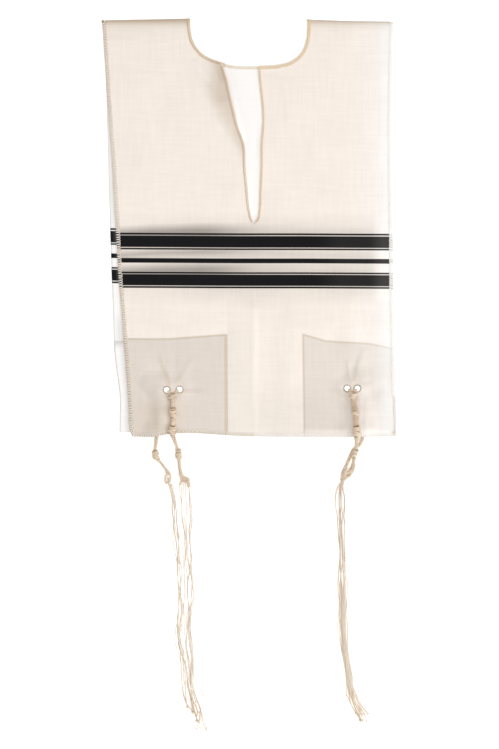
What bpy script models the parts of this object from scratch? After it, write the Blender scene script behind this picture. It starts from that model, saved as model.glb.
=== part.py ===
"""A tallit katan, a child's size, laid flat with its front up.

One length of cotton cloth is folded over at the shoulders, with a neck hole across the fold and a slit
down the front. A patch stiffens each corner on the inside. Each corner has two eyelets, through both
cloths, and a tzitzit tied through them: a wound and knotted head that ends in eight strings.

All tables are in millimetres, from the middle of the shoulder line: x to the right as it is seen from
above, y towards the shoulders, z up from the surface that it lies on.
"""

import math

import bmesh
import bpy
import numpy as np

MM = 0.001

# Walls, and the clearance between pieces
CLOTH = 1.2
PATCH = 1.0
SEAM_GAP = 0.3
PANEL_GAP = 0.6
STRING_GAP = 0.6

# Rounding of the fold at the shoulders, and how far from it the front settles
FOLD_RADIUS = 1.9
FOLD_SETTLES = 28.0

EYELET_RADIUS = 3.5
EYELET_SIDES = 12

# A cutter reaches this far below and above the middle of the cloth that it cuts
CUTTER_REACH = {"front": (5.4, 4.0), "back": (4.0, 2.8)}

# The cord bundle tied through the eyelets, and one string of a tassel
LOOP_RADIUS = 1.0
STRING_RADIUS = 0.6


def table(columns, *rows):
    """Rows of numbers, kept as one array for each named column."""
    return dict(zip(columns.split(), np.array(rows, float).T))


# The shoulder line, seen from above
SHOULDER = table(
    "x y",
    (-183.0, -1.1),
    (-72.6, 1.2),
    (72.4, -0.1),
    (127.0, -2.0),
    (180.8, -2.7),
)

# The side edges of the front, then its hem from the left corner to the right one
FRONT_SIDES = table(
    "y left right",
    (0.0, -182.8, 181.0),
    (-20.0, -181.7, 180.5),
    (-50.0, -179.9, 179.7),
    (-125.0, -174.7, 178.6),
    (-190.0, -169.9, 178.8),
    (-263.0, -165.5, 179.9),
    (-329.0, -161.8, 180.9),
    (-382.0, -157.3, 181.9),
    (-438.0, -152.8, 182.5),
    (-488.0, -149.3, 184.0),
    (-512.0, -147.9, 184.5),
    (-521.0, -144.8, 184.6),
)
FRONT_HEM = table(
    "x y",
    (-145.0, -521.5),
    (-120.0, -521.5),
    (-101.0, -518.4),
    (-80.0, -517.2),
    (-33.0, -519.4),
    (-11.0, -520.9),
    (40.0, -521.9),
    (115.0, -521.8),
    (184.6, -521.5),
)

# The back lies a little to the left of the front, and its hem is higher
BACK_SIDES = table(
    "y left right",
    (0.0, -182.4, 180.2),
    (-75.0, -178.6, 177.4),
    (-163.0, -175.8, 176.2),
    (-219.0, -174.3, 176.4),
    (-263.0, -172.9, 176.6),
    (-329.0, -170.8, 177.0),
    (-382.0, -169.1, 177.0),
    (-419.0, -167.6, 177.0),
    (-438.0, -165.4, 177.0),
    (-456.0, -162.8, 177.2),
    (-475.0, -161.0, 177.5),
    (-488.0, -161.2, 177.8),
    (-516.2, -161.4, 178.5),
)
BACK_HEM = -517.2

# The neck hole is a superellipse on each side of its middle, with the slit's corners at these angles
NECK = {
    "left": {"half_width": 73.5, "depth": 57.0, "power": 2.8, "corner": 73.7},
    "right": {"half_width": 74.0, "depth": 60.0, "power": 3.3, "corner": 87.1},
}
NECK_MIDDLE = (1.0, -59.2)
# From this angle on, both sides level out to the middle's depth
NECK_LEVELS_FROM = 60.0

# The slit's edges, open at the neck and closing to a point
SLIT = table(
    "y left right",
    (-60.5, -32.3, 12.2),
    (-67.0, -30.5, 12.7),
    (-76.0, -27.6, 13.4),
    (-98.0, -22.9, 15.6),
    (-116.0, -18.4, 17.3),
    (-132.0, -14.6, 17.3),
    (-155.0, -6.2, 15.4),
    (-184.0, -4.4, 15.3),
    (-213.0, -1.9, 14.0),
    (-238.0, 0.9, 12.9),
    (-250.0, 3.9, 10.9),
    (-255.6, 7.2, 7.2),
)

# The front's left flap curls up beside the slit
FLAP = {"from_x": -80.0, "middle_y": -88.0, "reach_y": 62.0, "rise": 8.5}

# Where the corner patches start, on each side, and how far the front takes to rise over them
PATCHES = {
    "front_left": {"inner": -28.6, "top": ((-158.0, -400.6), (-98.0, -398.0), (-28.0, -395.2))},
    "front_right": {"inner": 68.4, "top": ((68.0, -393.5), (118.0, -403.0), (182.0, -413.8))},
    "back_left": {"inner": -38.0, "top": ((-169.0, -402.5), (-38.0, -398.0))},
    "back_right": {"inner": 60.0, "top": ((60.0, -398.0), (177.0, -403.0))},
}
PATCH_INSET = 0.8
# A patch starts at the panel's row or column that is nearest its own edge, to within this
PATCH_SNAP = {"row": 1.0, "column": 4.0}
STACK = {"left": -24.0, "right": 55.0, "top": -390.0, "ramp": 9.0}

EYELETS = {
    "front_left": ((-101.8, -463.0), (-86.0, -462.5)),
    "front_right": ((122.8, -461.1), (135.3, -461.1)),
    "back_left": ((-117.6, -455.6), (-102.6, -455.6)),
    "back_right": ((135.5, -451.9), (150.5, -451.9)),
}
# The cloth stands this much higher where a loop of cord passes under it between two eyelets
LOOP_RISE = 3.1
LOOP_PLATEAU = 3.0
# The front keeps this much more room over such a bump
BUMP_CLEARANCE = 0.4
LOOP_SPREAD = 16.0
# A loop goes down near each eyelet's inner side, and comes out of it over the lower rim, onto the cloth
LOOP = {"inward": 1.9, "down": 0.6, "out": 3.0, "over_rim": 0.3, "bend": 1.3}
# The front settles over what lies between the cloths within this distance
RIDGE_SPREAD = 16.0
RIDGE_CLEARANCE = 1.0

# The wound heads of the tzitzit, from their first knot to just before their last. A radius over
# 3.5, or 2.8 between the cloths, is a knot
HEADS = {
    "front_left": table(
        "x y radius",
        (-95.0, -466.8, 2.8),
        (-95.1, -471.0, 4.2),
        (-95.1, -475.2, 3.0),
        (-95.1, -484.0, 3.0),
        (-94.8, -487.8, 4.4),
        (-94.8, -494.0, 4.6),
        (-95.0, -498.4, 3.1),
        (-95.2, -506.6, 3.2),
        (-96.0, -511.0, 4.7),
        (-95.9, -516.0, 4.3),
        (-94.5, -520.6, 3.1),
        (-91.8, -527.5, 2.6),
        (-89.5, -533.6, 2.1),
        (-88.3, -539.2, 3.6),
        (-86.8, -545.0, 3.9),
        (-86.8, -549.6, 2.6),
        (-86.2, -558.0, 2.3),
        (-85.0, -564.6, 2.4),
        (-82.8, -571.4, 2.7),
        (-80.6, -574.8, 2.4),
    ),
    "front_right": table(
        "x y radius",
        (130.2, -465.4, 3.0),
        (130.4, -469.6, 4.1),
        (130.3, -474.2, 3.2),
        (131.6, -479.4, 3.0),
        (133.0, -485.2, 3.5),
        (134.0, -491.0, 3.8),
        (134.0, -495.4, 3.2),
        (134.3, -500.0, 3.6),
        (134.4, -505.8, 3.0),
        (134.9, -510.2, 3.8),
        (135.8, -515.4, 4.5),
        (135.5, -520.4, 3.5),
        (135.9, -526.4, 2.7),
        (135.9, -533.4, 2.4),
        (134.8, -538.4, 3.3),
        (133.6, -543.4, 4.0),
        (132.5, -548.4, 2.8),
        (131.3, -554.4, 2.4),
        (129.4, -559.8, 2.3),
        (126.8, -563.4, 2.4),
    ),
    "back_left": table(
        "x y radius",
        (-109.2, -462.0, 2.2),
        (-108.4, -466.4, 2.9),
        (-107.4, -470.8, 2.4),
        (-106.2, -479.0, 2.4),
        (-105.6, -486.6, 2.4),
        (-105.5, -490.8, 2.9),
        (-105.8, -495.4, 2.4),
        (-107.6, -505.0, 2.4),
        (-110.0, -511.6, 2.9),
        (-112.6, -516.4, 2.5),
        (-115.0, -523.2, 2.5),
        (-115.8, -530.6, 2.4),
        (-116.8, -537.2, 2.3),
        (-117.0, -542.2, 3.7),
        (-115.8, -547.0, 4.2),
        (-112.4, -550.8, 2.3),
        (-106.8, -557.4, 1.9),
        (-102.8, -563.4, 1.9),
        (-101.8, -569.4, 2.1),
    ),
    "back_right": table(
        "x y radius",
        (143.2, -458.8, 2.2),
        (143.4, -463.0, 2.9),
        (143.7, -467.6, 2.4),
        (144.3, -476.0, 2.4),
        (144.6, -484.0, 2.4),
        (144.7, -490.0, 2.9),
        (144.6, -496.0, 2.4),
        (144.5, -504.0, 2.4),
        (144.1, -511.0, 2.9),
        (143.1, -518.0, 2.4),
        (141.9, -525.4, 2.5),
        (138.8, -531.0, 2.5),
        (134.2, -534.8, 2.3),
        (130.2, -538.6, 2.5),
        (127.4, -544.4, 2.4),
        (124.6, -551.2, 2.3),
        (121.4, -558.0, 2.2),
        (118.4, -565.4, 2.1),
    ),
}
# How steeply a head comes down off the hem to the surface, and how far it clears the hem's edge
HEAD_SLOPE = 0.32
HEM_MARGIN = 3.0

# The last knot of each head: its middle, its half sizes and its turn in degrees
LAST_KNOTS = {
    "front_left": {"middle": (-79.2, -575.6), "half": (6.0, 3.9, 3.6), "turn": 8.0},
    "front_right": {"middle": (125.2, -565.4), "half": (5.4, 3.8, 3.6), "turn": 45.0},
    "back_left": {"middle": (-101.4, -572.6), "half": (4.0, 6.6, 3.2), "turn": 6.0},
    "back_right": {"middle": (117.0, -568.6), "half": (3.2, 5.4, 2.7), "turn": -15.0},
}
LAST_KNOT_RISE = {"front_left": 0.0, "front_right": 2.0, "back_left": 0.0, "back_right": 0.0}

# Each tassel's middle line below its last knot, and half of its width
TASSELS = {
    "front_left": table(
        "y x spread",
        (-575.6, -79.6, 3.6),
        (-584.0, -80.0, 5.4),
        (-600.0, -78.6, 6.0),
        (-626.0, -77.6, 6.0),
        (-645.0, -77.6, 5.2),
        (-672.0, -76.4, 4.2),
        (-710.0, -76.2, 4.2),
        (-763.0, -76.0, 4.4),
        (-790.0, -73.0, 4.2),
        (-818.0, -71.0, 3.8),
        (-836.0, -66.6, 4.6),
        (-850.0, -61.6, 4.8),
        (-866.0, -60.2, 3.4),
        (-892.0, -56.4, 4.2),
    ),
    "back_left": table(
        "y x spread",
        (-572.6, -101.4, 2.4),
        (-584.0, -98.8, 2.4),
        (-600.0, -95.0, 2.8),
        (-617.0, -91.2, 3.0),
        (-645.0, -89.0, 3.2),
        (-676.0, -88.0, 3.4),
        (-720.0, -88.2, 4.0),
        (-763.0, -88.0, 4.4),
        (-790.0, -85.2, 4.0),
        (-807.0, -82.2, 3.6),
        (-826.0, -80.2, 3.2),
        (-851.0, -75.6, 3.4),
        (-866.0, -71.4, 3.2),
    ),
    "front_right": table(
        "y x spread",
        (-565.4, 125.2, 2.4),
        (-575.0, 122.6, 2.4),
        (-585.0, 117.6, 2.4),
        (-600.0, 115.0, 4.4),
        (-620.0, 115.4, 4.6),
        (-645.0, 117.0, 4.6),
        (-676.0, 118.0, 4.2),
        (-763.0, 119.4, 4.2),
        (-790.0, 120.8, 3.6),
        (-819.0, 125.4, 4.2),
        (-838.0, 129.0, 4.8),
        (-850.0, 132.4, 5.6),
        (-862.0, 138.0, 5.8),
        (-874.0, 143.6, 5.4),
    ),
    "back_right": table(
        "y x spread",
        (-568.6, 117.0, 2.4),
        (-577.0, 115.2, 2.4),
        (-586.0, 114.4, 2.4),
        (-600.0, 113.6, 4.4),
        (-620.0, 114.4, 4.4),
        (-645.0, 116.2, 4.4),
        (-676.0, 117.4, 4.0),
        (-763.0, 118.6, 4.0),
        (-790.0, 119.8, 3.4),
        (-819.0, 124.4, 4.0),
        (-838.0, 127.8, 4.2),
        (-850.0, 130.8, 4.8),
        (-866.0, 137.4, 4.8),
    ),
}
# A tassel is two layers of four strings. Each string has its place across, a layer and an end
STRINGS = table(
    "across layer end",
    (-1.0, 0, 0.96),
    (-0.33, 0, 0.99),
    (0.33, 0, 0.95),
    (1.0, 0, 0.98),
    (-0.8, 1, 0.97),
    (-0.2, 1, 1.00),
    (0.4, 1, 0.94),
    (1.05, 1, 0.985),
)
LAYER_HEIGHT = 1.6
LOWEST_LAYER = {"front_left": 0.95, "back_left": 0.95, "front_right": 4.3, "back_right": 0.95}
# The upper layer wanders across the lower one
WANDER = {"reach": 0.9, "length": 96.0}
STRING_SETTLES = 14.0
# Points of a string stand closer together near its knot
STRING_POINTS = 12
POINTS_CROWD = 1.15

# Rows follow the shoulder line this far down, and the hem's waves from a y over a length
SHOULDER_REACH = 120.0
HEM_WAVES = {"from_y": -440.0, "length": 80.0}
# Rows of the cloth, by the y where they meet its side edge
FOLD_ANGLES = (-90, -45, 0, 45, 90)
NECK_STEPS = 6
NECK_SIDE = -62.0
# The slit's first rows meet the side edge this much lower, clear of the neck's last row
SLIT_ROWS = {"above_y": -70.0, "lower": 2.0}
FRONT_ROWS = (
    -262, -326, -380, -386, -393, -404, -416, -426, -434, -441, -447, -453, -459,
    -465, -471, -478, -486, -496, -506, -514,
)
BACK_ROWS = (
    -66, -120, -240, -340, -396, -412, -426, -434, -441, -447, -453, -459, -466,
    -474, -486, -502,
)
# Columns of each half, as a share of the way from the middle to the side
LEFT_COLUMNS = (
    0, 0.1, 0.215, 0.33, 0.43, 0.5, 0.555, 0.605, 0.645, 0.68, 0.715, 0.75, 0.785,
    0.825, 0.88, 0.94, 1,
)
RIGHT_COLUMNS = (
    0, 0.11, 0.23, 0.36, 0.46, 0.54, 0.6, 0.645, 0.685, 0.72, 0.755, 0.79, 0.825,
    0.865, 0.91, 0.955, 1,
)
COLUMNS = {"left": LEFT_COLUMNS, "right": RIGHT_COLUMNS}


def smooth(t):
    """Rises from 0 to 1 as t does, and levels out at both ends."""
    t = np.clip(t, 0, 1)
    return t * t * (3 - 2 * t)


def follow(rows, along, column, value):
    """The column's value at a place along the table, on a smooth curve through its rows."""
    order = np.argsort(rows[along])
    x, y = rows[along][order], rows[column][order]
    slope = np.gradient(y, x)
    value = np.clip(value, x[0], x[-1])
    i = np.clip(np.searchsorted(x, value) - 1, 0, len(x) - 2)
    span = x[i + 1] - x[i]
    t = (value - x[i]) / span
    start = y[i] * (1 + 2 * t) * (1 - t) ** 2 + slope[i] * span * t * (1 - t) ** 2
    end = y[i + 1] * t * t * (3 - 2 * t) - slope[i + 1] * span * t * t * (1 - t)
    return start + end


def from_segment(x, y, a, b):
    """Distance in plan from each point to the segment from a to b."""
    run_x, run_y = b[0] - a[0], b[1] - a[1]
    t = np.clip(((x - a[0]) * run_x + (y - a[1]) * run_y) / (run_x**2 + run_y**2), 0, 1)
    return np.hypot(x - a[0] - t * run_x, y - a[1] - t * run_y)


# Heights of the cloths


def eyelet_rise(corner, x, y):
    """How far the cloth is lifted by the loop of cord that passes under it at a corner."""
    away = from_segment(x, y, *EYELETS[corner])
    return LOOP_RISE * smooth(1 - (away - LOOP_PLATEAU) / LOOP_SPREAD)


def back_rise(x, y):
    return eyelet_rise("back_left", x, y) + eyelet_rise("back_right", x, y)


def over_patches(x, y):
    """1 where the front lies on the corner patches, 0 where it lies on the back, and a ramp between."""
    left = smooth((STACK["left"] + STACK["ramp"] - x) / STACK["ramp"])
    right = smooth((x - STACK["right"] + STACK["ramp"]) / STACK["ramp"])
    return (left + right) * smooth((STACK["top"] + STACK["ramp"] - y) / STACK["ramp"])


def patch_top(x, y):
    """Top of the back's corner patches, or of the surface beyond the back's hem."""
    return np.where(y > BACK_HEM - HEM_MARGIN, CLOTH + SEAM_GAP + PATCH + back_rise(x, y), 0.0)


def flap_rise(x, y):
    """The curl of the left flap, highest at its edge on the slit."""
    edge = follow(SLIT, "y", "left", y)
    across = np.clip((x - FLAP["from_x"]) / (edge - FLAP["from_x"]), 0, 1.05)
    along = smooth(1 - abs(y - FLAP["middle_y"]) / FLAP["reach_y"])
    return np.where(x < edge + 1, FLAP["rise"] * across**2 * along, 0.0)


def ridge(x, y, strings):
    """How far the front is lifted by the strings, each (x, y, radius, top), that lie under it."""
    lift = np.zeros_like(x)
    for string_x, string_y, radius, top in strings:
        away = np.hypot(x - string_x, y - string_y) - radius / 2
        flat = CLOTH + SEAM_GAP + PATCH + PANEL_GAP
        height = top + RIDGE_CLEARANCE - flat - back_rise(string_x, string_y)
        lift = np.maximum(lift, height * smooth(1 - away / RIDGE_SPREAD))
    return lift


def front_underside(x, y, strings):
    """Underside of the front cloth."""
    stack = 2 * (PATCH + SEAM_GAP) * over_patches(x, y)
    loops = eyelet_rise("front_left", x, y) + eyelet_rise("front_right", x, y)
    lift = (loops**4 + ridge(x, y, strings) ** 4) ** 0.25
    fold = 2 * FOLD_RADIUS - CLOTH - PANEL_GAP
    fold_lift = fold * smooth(1 + y / FOLD_SETTLES)
    below = back_rise(x, y)
    below = below + BUMP_CLEARANCE * smooth(2 * below)
    return CLOTH + PANEL_GAP + stack + lift + below + fold_lift + flap_rise(x, y)


def front_top(x, y, strings):
    """Top of the front cloth, or the surface beyond its hem."""
    hem = follow(FRONT_HEM, "x", "y", x)
    return np.where(y > hem - HEM_MARGIN, front_underside(x, y, strings) + CLOTH, 0.0)


def resting_height(surface, x, y, radius):
    """Lowest middle of a round string that lies clear of a surface."""
    reach = radius * np.linspace(-1, 1, 9)
    across, along = (offset.ravel() for offset in np.meshgrid(reach, reach))
    under = np.sqrt(np.maximum(radius**2 - across**2 - along**2, 0))
    return float(np.max(surface(x + across, y + along) + under)) + STRING_GAP


def lay(rows, surface):
    """Points (x, y, z, radius) of a head laid on a surface, coming down no steeper than its slope."""
    x, y, radius = rows["x"], rows["y"], rows["radius"]
    rest = np.array([resting_height(surface, *place) for place in zip(x, y, radius)])
    apart = np.hypot(x[:, None] - x, y[:, None] - y)
    z = np.max(rest - HEAD_SLOPE * apart, axis=1)
    return np.stack([x, y, z, radius], axis=1)


def top_of(head):
    """A surface: the top of a head that is laid already, and the floor around it."""

    def surface(x, y):
        top = np.zeros_like(x)
        for a, b in zip(head[:-1], head[1:]):
            for t in np.linspace(0, 1, 4):
                at_x, at_y, at_z, radius = a * (1 - t) + b * t
                away = np.hypot(x - at_x, y - at_y)
                round_top = at_z + np.sqrt(np.maximum(radius**2 - away**2, 0))
                top = np.maximum(top, np.where(away < radius, round_top, 0.0))
        return top

    return surface


# Cord loops through the eyelets


def loop_route(corner, over, under, first_knot):
    """Out of the first knot, down one eyelet, across under the cloth and up through the other."""
    left, right = (np.array(place) for place in EYELETS[corner])
    inward = (right - left) / np.hypot(*(right - left))
    knot = first_knot[:3]
    legs = []
    for place in (left + LOOP["inward"] * inward, right - LOOP["inward"] * inward):
        x, y = place[0], place[1] - LOOP["down"]
        out_y = place[1] - LOOP["out"]
        mouth = resting_height(over, x, out_y, LOOP_RADIUS) + LOOP["over_rim"]
        below = float(under(np.array(x), np.array(y))) - STRING_GAP - LOOP_RADIUS
        between = (np.array([x, out_y]) + knot[:2]) / 2
        on_cloth = resting_height(over, *between, LOOP_RADIUS)
        route = [tuple(knot), (*between, on_cloth), (x, y, mouth), (x, y, below)]
        legs.append([np.array(point) for point in route])
    return rounded(legs[0] + legs[1][::-1], LOOP["bend"])


def rounded(points, radius):
    """The points, with a short arc in place of each corner."""
    made = [points[0]]
    for before, corner, after in zip(points, points[1:], points[2:]):
        back, on = before - corner, after - corner
        reach = min(radius, 0.45 * np.linalg.norm(back), 0.45 * np.linalg.norm(on))
        start = corner + back / np.linalg.norm(back) * reach
        end = corner + on / np.linalg.norm(on) * reach
        middle = (start + end + 2 * corner) / 4
        made += [start, middle, end]
    return made + [points[-1]]


# Rows and columns of the cloth


def neck_edge(side, angle):
    """A point of the neck hole, by its angle in degrees down from the shoulder line."""
    neck = NECK[side]
    turn = math.radians(angle)
    level = smooth((angle - NECK_LEVELS_FROM) / (90 - NECK_LEVELS_FROM))
    depth = neck["depth"] + (-NECK_MIDDLE[1] - neck["depth"]) * level
    x = neck["half_width"] * abs(math.cos(turn)) ** (2 / neck["power"])
    y = -depth * abs(math.sin(turn)) ** (2 / neck["power"])
    if angle == 90:
        return NECK_MIDDLE
    return (-x if side == "left" else x, y)


def front_stations(side):
    """(outer y, inner x, inner y) of each row of the front, from the shoulder to the hem."""
    stations = []
    for step in range(NECK_STEPS + 1):
        share = step / NECK_STEPS
        stations.append((share * NECK_SIDE, *neck_edge(side, share * NECK[side]["corner"])))
    for y, x in zip(SLIT["y"], SLIT[side]):
        stations.append((y - SLIT_ROWS["lower"] * (y > SLIT_ROWS["above_y"]), x, y))
    tip = SLIT["left"][-1]
    stations += [(y, tip, y) for y in FRONT_ROWS]
    return stations + [(None, tip, None)]


def back_stations(side):
    """(outer y, inner x, inner y) of each row of the back, from the shoulder to the hem."""
    stations = []
    for step in range(NECK_STEPS + 1):
        share = step / NECK_STEPS
        stations.append((share * BACK_ROWS[0], *neck_edge(side, share * 90)))
    middle = NECK_MIDDLE[0]
    return stations + [(y, middle, y) for y in BACK_ROWS[1:] + (BACK_HEM,)]


def row_points(side, station, sides, hem):
    """x and y along one row of a half, from the middle out."""
    outer_y, inner_x, inner_y = station
    share = np.array(COLUMNS[side])
    at_hem = outer_y is None
    outer_x = follow(sides, "y", side, sides["y"][-1] if at_hem else outer_y)
    x = inner_x + (outer_x - inner_x) * share
    if at_hem:
        return x, follow(hem, "x", "y", x)
    y = inner_y + (outer_y - inner_y) * share
    y = y + np.interp(x, SHOULDER["x"], SHOULDER["y"]) * smooth(1 + y / SHOULDER_REACH)
    if hem is not None:
        waves = follow(hem, "x", "y", x) - hem["y"].mean()
        y = y + waves * smooth((HEM_WAVES["from_y"] - y) / HEM_WAVES["length"])
    return x, y


def front_half(side, strings):
    """Middle surface of one half of the front, as rows of points from the shoulder to the hem."""
    rows = []
    for station in front_stations(side):
        x, y = row_points(side, station, FRONT_SIDES, FRONT_HEM)
        rows.append(np.stack([x, y, front_underside(x, y, strings) + CLOTH / 2], axis=1))
    rows[0][:, 1] -= FOLD_RADIUS + CLOTH / 2
    return np.array(rows)


def back_half(side):
    rows = []
    for station in back_stations(side):
        x, y = row_points(side, station, BACK_SIDES, None)
        rows.append(np.stack([x, y, back_rise(x, y) + CLOTH / 2], axis=1))
    rows[0][:, 1] -= FOLD_RADIUS + CLOTH / 2
    return np.array(rows)


def fold_half(front_row, back_row):
    """The bend at the shoulder, from the front's first row round to the back's."""
    rows = []
    for angle in reversed(FOLD_ANGLES[1:-1]):
        turn = math.radians(angle)
        share = (1 + math.sin(turn)) / 2
        row = back_row * (1 - share) + front_row * share
        row[:, 1] += FOLD_RADIUS * math.cos(turn)
        row[:, 2] = CLOTH / 2 + FOLD_RADIUS * (1 + math.sin(turn))
        rows.append(row)
    return np.array(rows)


def moved_out(points, distance):
    """The surface through a grid of points, moved along its normals."""
    down = np.gradient(points, axis=0)
    across = np.gradient(points, axis=1)
    normal = np.cross(across, down)
    normal *= np.sign(normal[..., 2:3]) / np.linalg.norm(normal, axis=2, keepdims=True)
    return points + distance * normal


def patch_points(corner, panel, offset):
    """A corner patch: the panel's own points, moved off it and cut to the patch's outline."""
    patch = PATCHES[corner]
    top = table("x y", *patch["top"])
    side = corner.split("_")[1]
    outward = -1 if side == "left" else 1
    top_y = np.interp(panel[0, -1, 0], top["x"], top["y"])
    first_row = int(np.argmax(panel[:, -1, 1] < top_y - PATCH_SNAP["row"]))
    low_row = panel[panel.shape[0] * 3 // 4]
    beyond_inner = outward * (low_row[:, 0] - patch["inner"])
    first_column = int(np.argmax(beyond_inner > -PATCH_SNAP["column"]))
    points = moved_out(panel, offset)[first_row:, first_column:].copy()
    points[0, :, 1] = np.interp(points[0, :, 0], top["x"], top["y"])
    points[:, 0, 0] = patch["inner"]
    points[-1, :, 1] += PATCH_INSET
    points[:, -1, 0] -= outward * PATCH_INSET
    return points


# Objects


def material(name, colour, roughness):
    made = bpy.data.materials.new(name)
    made.use_nodes = True
    shader = made.node_tree.nodes["Principled BSDF"]
    shader.inputs["Base Color"].default_value = (*colour, 1)
    shader.inputs["Roughness"].default_value = roughness
    shader.inputs["Metallic"].default_value = 0
    return made


def put(name, mesh, collection, surface=None):
    made = bpy.data.objects.new(name, mesh)
    collection.objects.link(made)
    if surface:
        mesh.materials.append(surface)
    return made


def helper(name, mesh, collection):
    """An object that only cuts or joins another."""
    made = put(name, mesh, collection)
    made.hide_render = True
    made.display_type = "WIRE"
    return made


def sheet(name, collection, surface, grids, wall):
    """A cloth with a middle surface of one or more grids of points, joined where they meet."""
    shape = bmesh.new()
    for points in grids:
        rows, columns = points.shape[:2]
        made = bmesh.ops.create_grid(shape, x_segments=columns - 1, y_segments=rows - 1, size=1)
        squares = [face for face in shape.faces if len(face.verts) == 4]
        bmesh.ops.triangulate(shape, faces=squares, quad_method="FIXED")
        for vert in made["verts"]:
            row = round((vert.co.y + 1) / 2 * (rows - 1))
            column = round((vert.co.x + 1) / 2 * (columns - 1))
            vert.co = points[row, column] * MM
    bmesh.ops.remove_doubles(shape, verts=shape.verts, dist=0.01 * MM)
    bmesh.ops.recalc_face_normals(shape, faces=shape.faces)
    mesh = bpy.data.meshes.new(name)
    shape.to_mesh(mesh)
    shape.free()
    made = put(name, mesh, collection, surface)
    thicken = made.modifiers.new("Wall", "SOLIDIFY")
    thicken.thickness = wall * MM
    thicken.offset = 0
    thicken.use_even_offset = True
    return made


def cut_eyelets(cloth, cutters):
    for cutter in cutters:
        cut = cloth.modifiers.new(cutter.name, "BOOLEAN")
        cut.operation = "DIFFERENCE"
        cut.object = cutter


def flatten(cloth):
    """Joins faces that lie in one plane."""
    plain = cloth.modifiers.new("Flat areas", "DECIMATE")
    plain.decimate_type = "DISSOLVE"
    plain.angle_limit = math.radians(0.03)


def eyelet_cutters(corner, underside, collection):
    """A cylinder through each of a corner's eyelets."""
    below, above = CUTTER_REACH[corner.split("_")[0]]
    made = []
    for number, (x, y) in enumerate(EYELETS[corner], 1):
        z = float(underside(np.array(x), np.array(y))) + CLOTH / 2
        shape = bmesh.new()
        bmesh.ops.create_cone(
            shape,
            segments=EYELET_SIDES,
            radius1=EYELET_RADIUS * MM,
            radius2=EYELET_RADIUS * MM,
            depth=(below + above) * MM,
            cap_ends=True,
        )
        middle = np.array([x, y, z + (above - below) / 2]) * MM
        bmesh.ops.translate(shape, verts=shape.verts, vec=middle)
        mesh = bpy.data.meshes.new(f"{corner}_eyelet_{number}")
        shape.to_mesh(mesh)
        shape.free()
        made.append(helper(mesh.name, mesh, collection))
    return made


def tube(name, points, radii, sides, collection):
    """A closed mesh tube along points, made from a bevelled curve."""
    curve = bpy.data.curves.new(name, "CURVE")
    curve.dimensions = "3D"
    curve.bevel_depth = MM
    curve.bevel_resolution = sides // 2 - 2
    curve.use_fill_caps = True
    line = curve.splines.new("POLY")
    line.points.add(len(points) - 1)
    for point, place, radius in zip(line.points, points, radii):
        point.co = (*(np.array(place) * MM), 1)
        point.radius = radius
    drawn = bpy.data.objects.new(name, curve)
    collection.objects.link(drawn)
    graph = bpy.context.evaluated_depsgraph_get()
    mesh = bpy.data.meshes.new_from_object(drawn.evaluated_get(graph))
    bpy.data.objects.remove(drawn)
    shape = bmesh.new()
    shape.from_mesh(mesh)
    bmesh.ops.remove_doubles(shape, verts=shape.verts, dist=0.001 * MM)
    bmesh.ops.recalc_face_normals(shape, faces=shape.faces)
    shape.to_mesh(mesh)
    shape.free()
    mesh.name = name
    return mesh


def last_knot(corner, height):
    knot = LAST_KNOTS[corner]
    shape = bmesh.new()
    bmesh.ops.create_uvsphere(shape, u_segments=10, v_segments=6, radius=1)
    turn = math.radians(knot["turn"])
    for vert in shape.verts:
        x, y, z = (part * half for part, half in zip(vert.co, knot["half"]))
        vert.co.x = (knot["middle"][0] + x * math.cos(turn) - y * math.sin(turn)) * MM
        vert.co.y = (knot["middle"][1] + x * math.sin(turn) + y * math.cos(turn)) * MM
        vert.co.z = (height + z) * MM
    mesh = bpy.data.meshes.new(f"{corner}_last_knot")
    shape.to_mesh(mesh)
    shape.free()
    return mesh


def string_points(corner, across, layer, end, knot_height):
    """One string of a tassel, from inside the last knot to its free end."""
    rows = TASSELS[corner]
    start_y, end_y = rows["y"][0], rows["y"][-1]
    y = start_y + (end_y - start_y) * end * np.linspace(0, 1, STRING_POINTS) ** POINTS_CROWD
    x = follow(rows, "y", "x", y) + across * follow(rows, "y", "spread", y)
    away = smooth((start_y - y) / STRING_SETTLES)
    drift = math.tau * (start_y - y) / WANDER["length"]
    x = x + layer * away * WANDER["reach"] * np.sin(drift)
    settled = LOWEST_LAYER[corner] + layer * LAYER_HEIGHT
    root = knot_height + (layer - 0.5) * LAYER_HEIGHT
    z = root + (settled - root) * away
    return np.stack([x, y, z], axis=1)


def tzitzit(corner, head, loop, collection, helpers, surface):
    """A head with its loop, last knot and eight strings, joined into one body."""
    name = f"tzitzit_{corner}"
    made = put(name, tube(name, head[:, :3], head[:, 3], 8, helpers), collection, surface)
    knot_height = LAST_KNOTS[corner]["half"][2] + STRING_GAP + LAST_KNOT_RISE[corner]
    pieces = [
        tube(f"{corner}_loop", loop, [LOOP_RADIUS] * len(loop), 6, helpers),
        last_knot(corner, knot_height),
    ]
    for number, (across, layer, end) in enumerate(zip(*STRINGS.values()), 1):
        points = string_points(corner, across, layer, end, knot_height)
        radii = [STRING_RADIUS] * len(points)
        pieces.append(tube(f"{corner}_string_{number}", points, radii, 4, helpers))
    for mesh in pieces:
        join = made.modifiers.new(mesh.name, "BOOLEAN")
        join.operation = "UNION"
        join.use_self = True
        join.object = helper(mesh.name, mesh, helpers)
    return made


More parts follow.
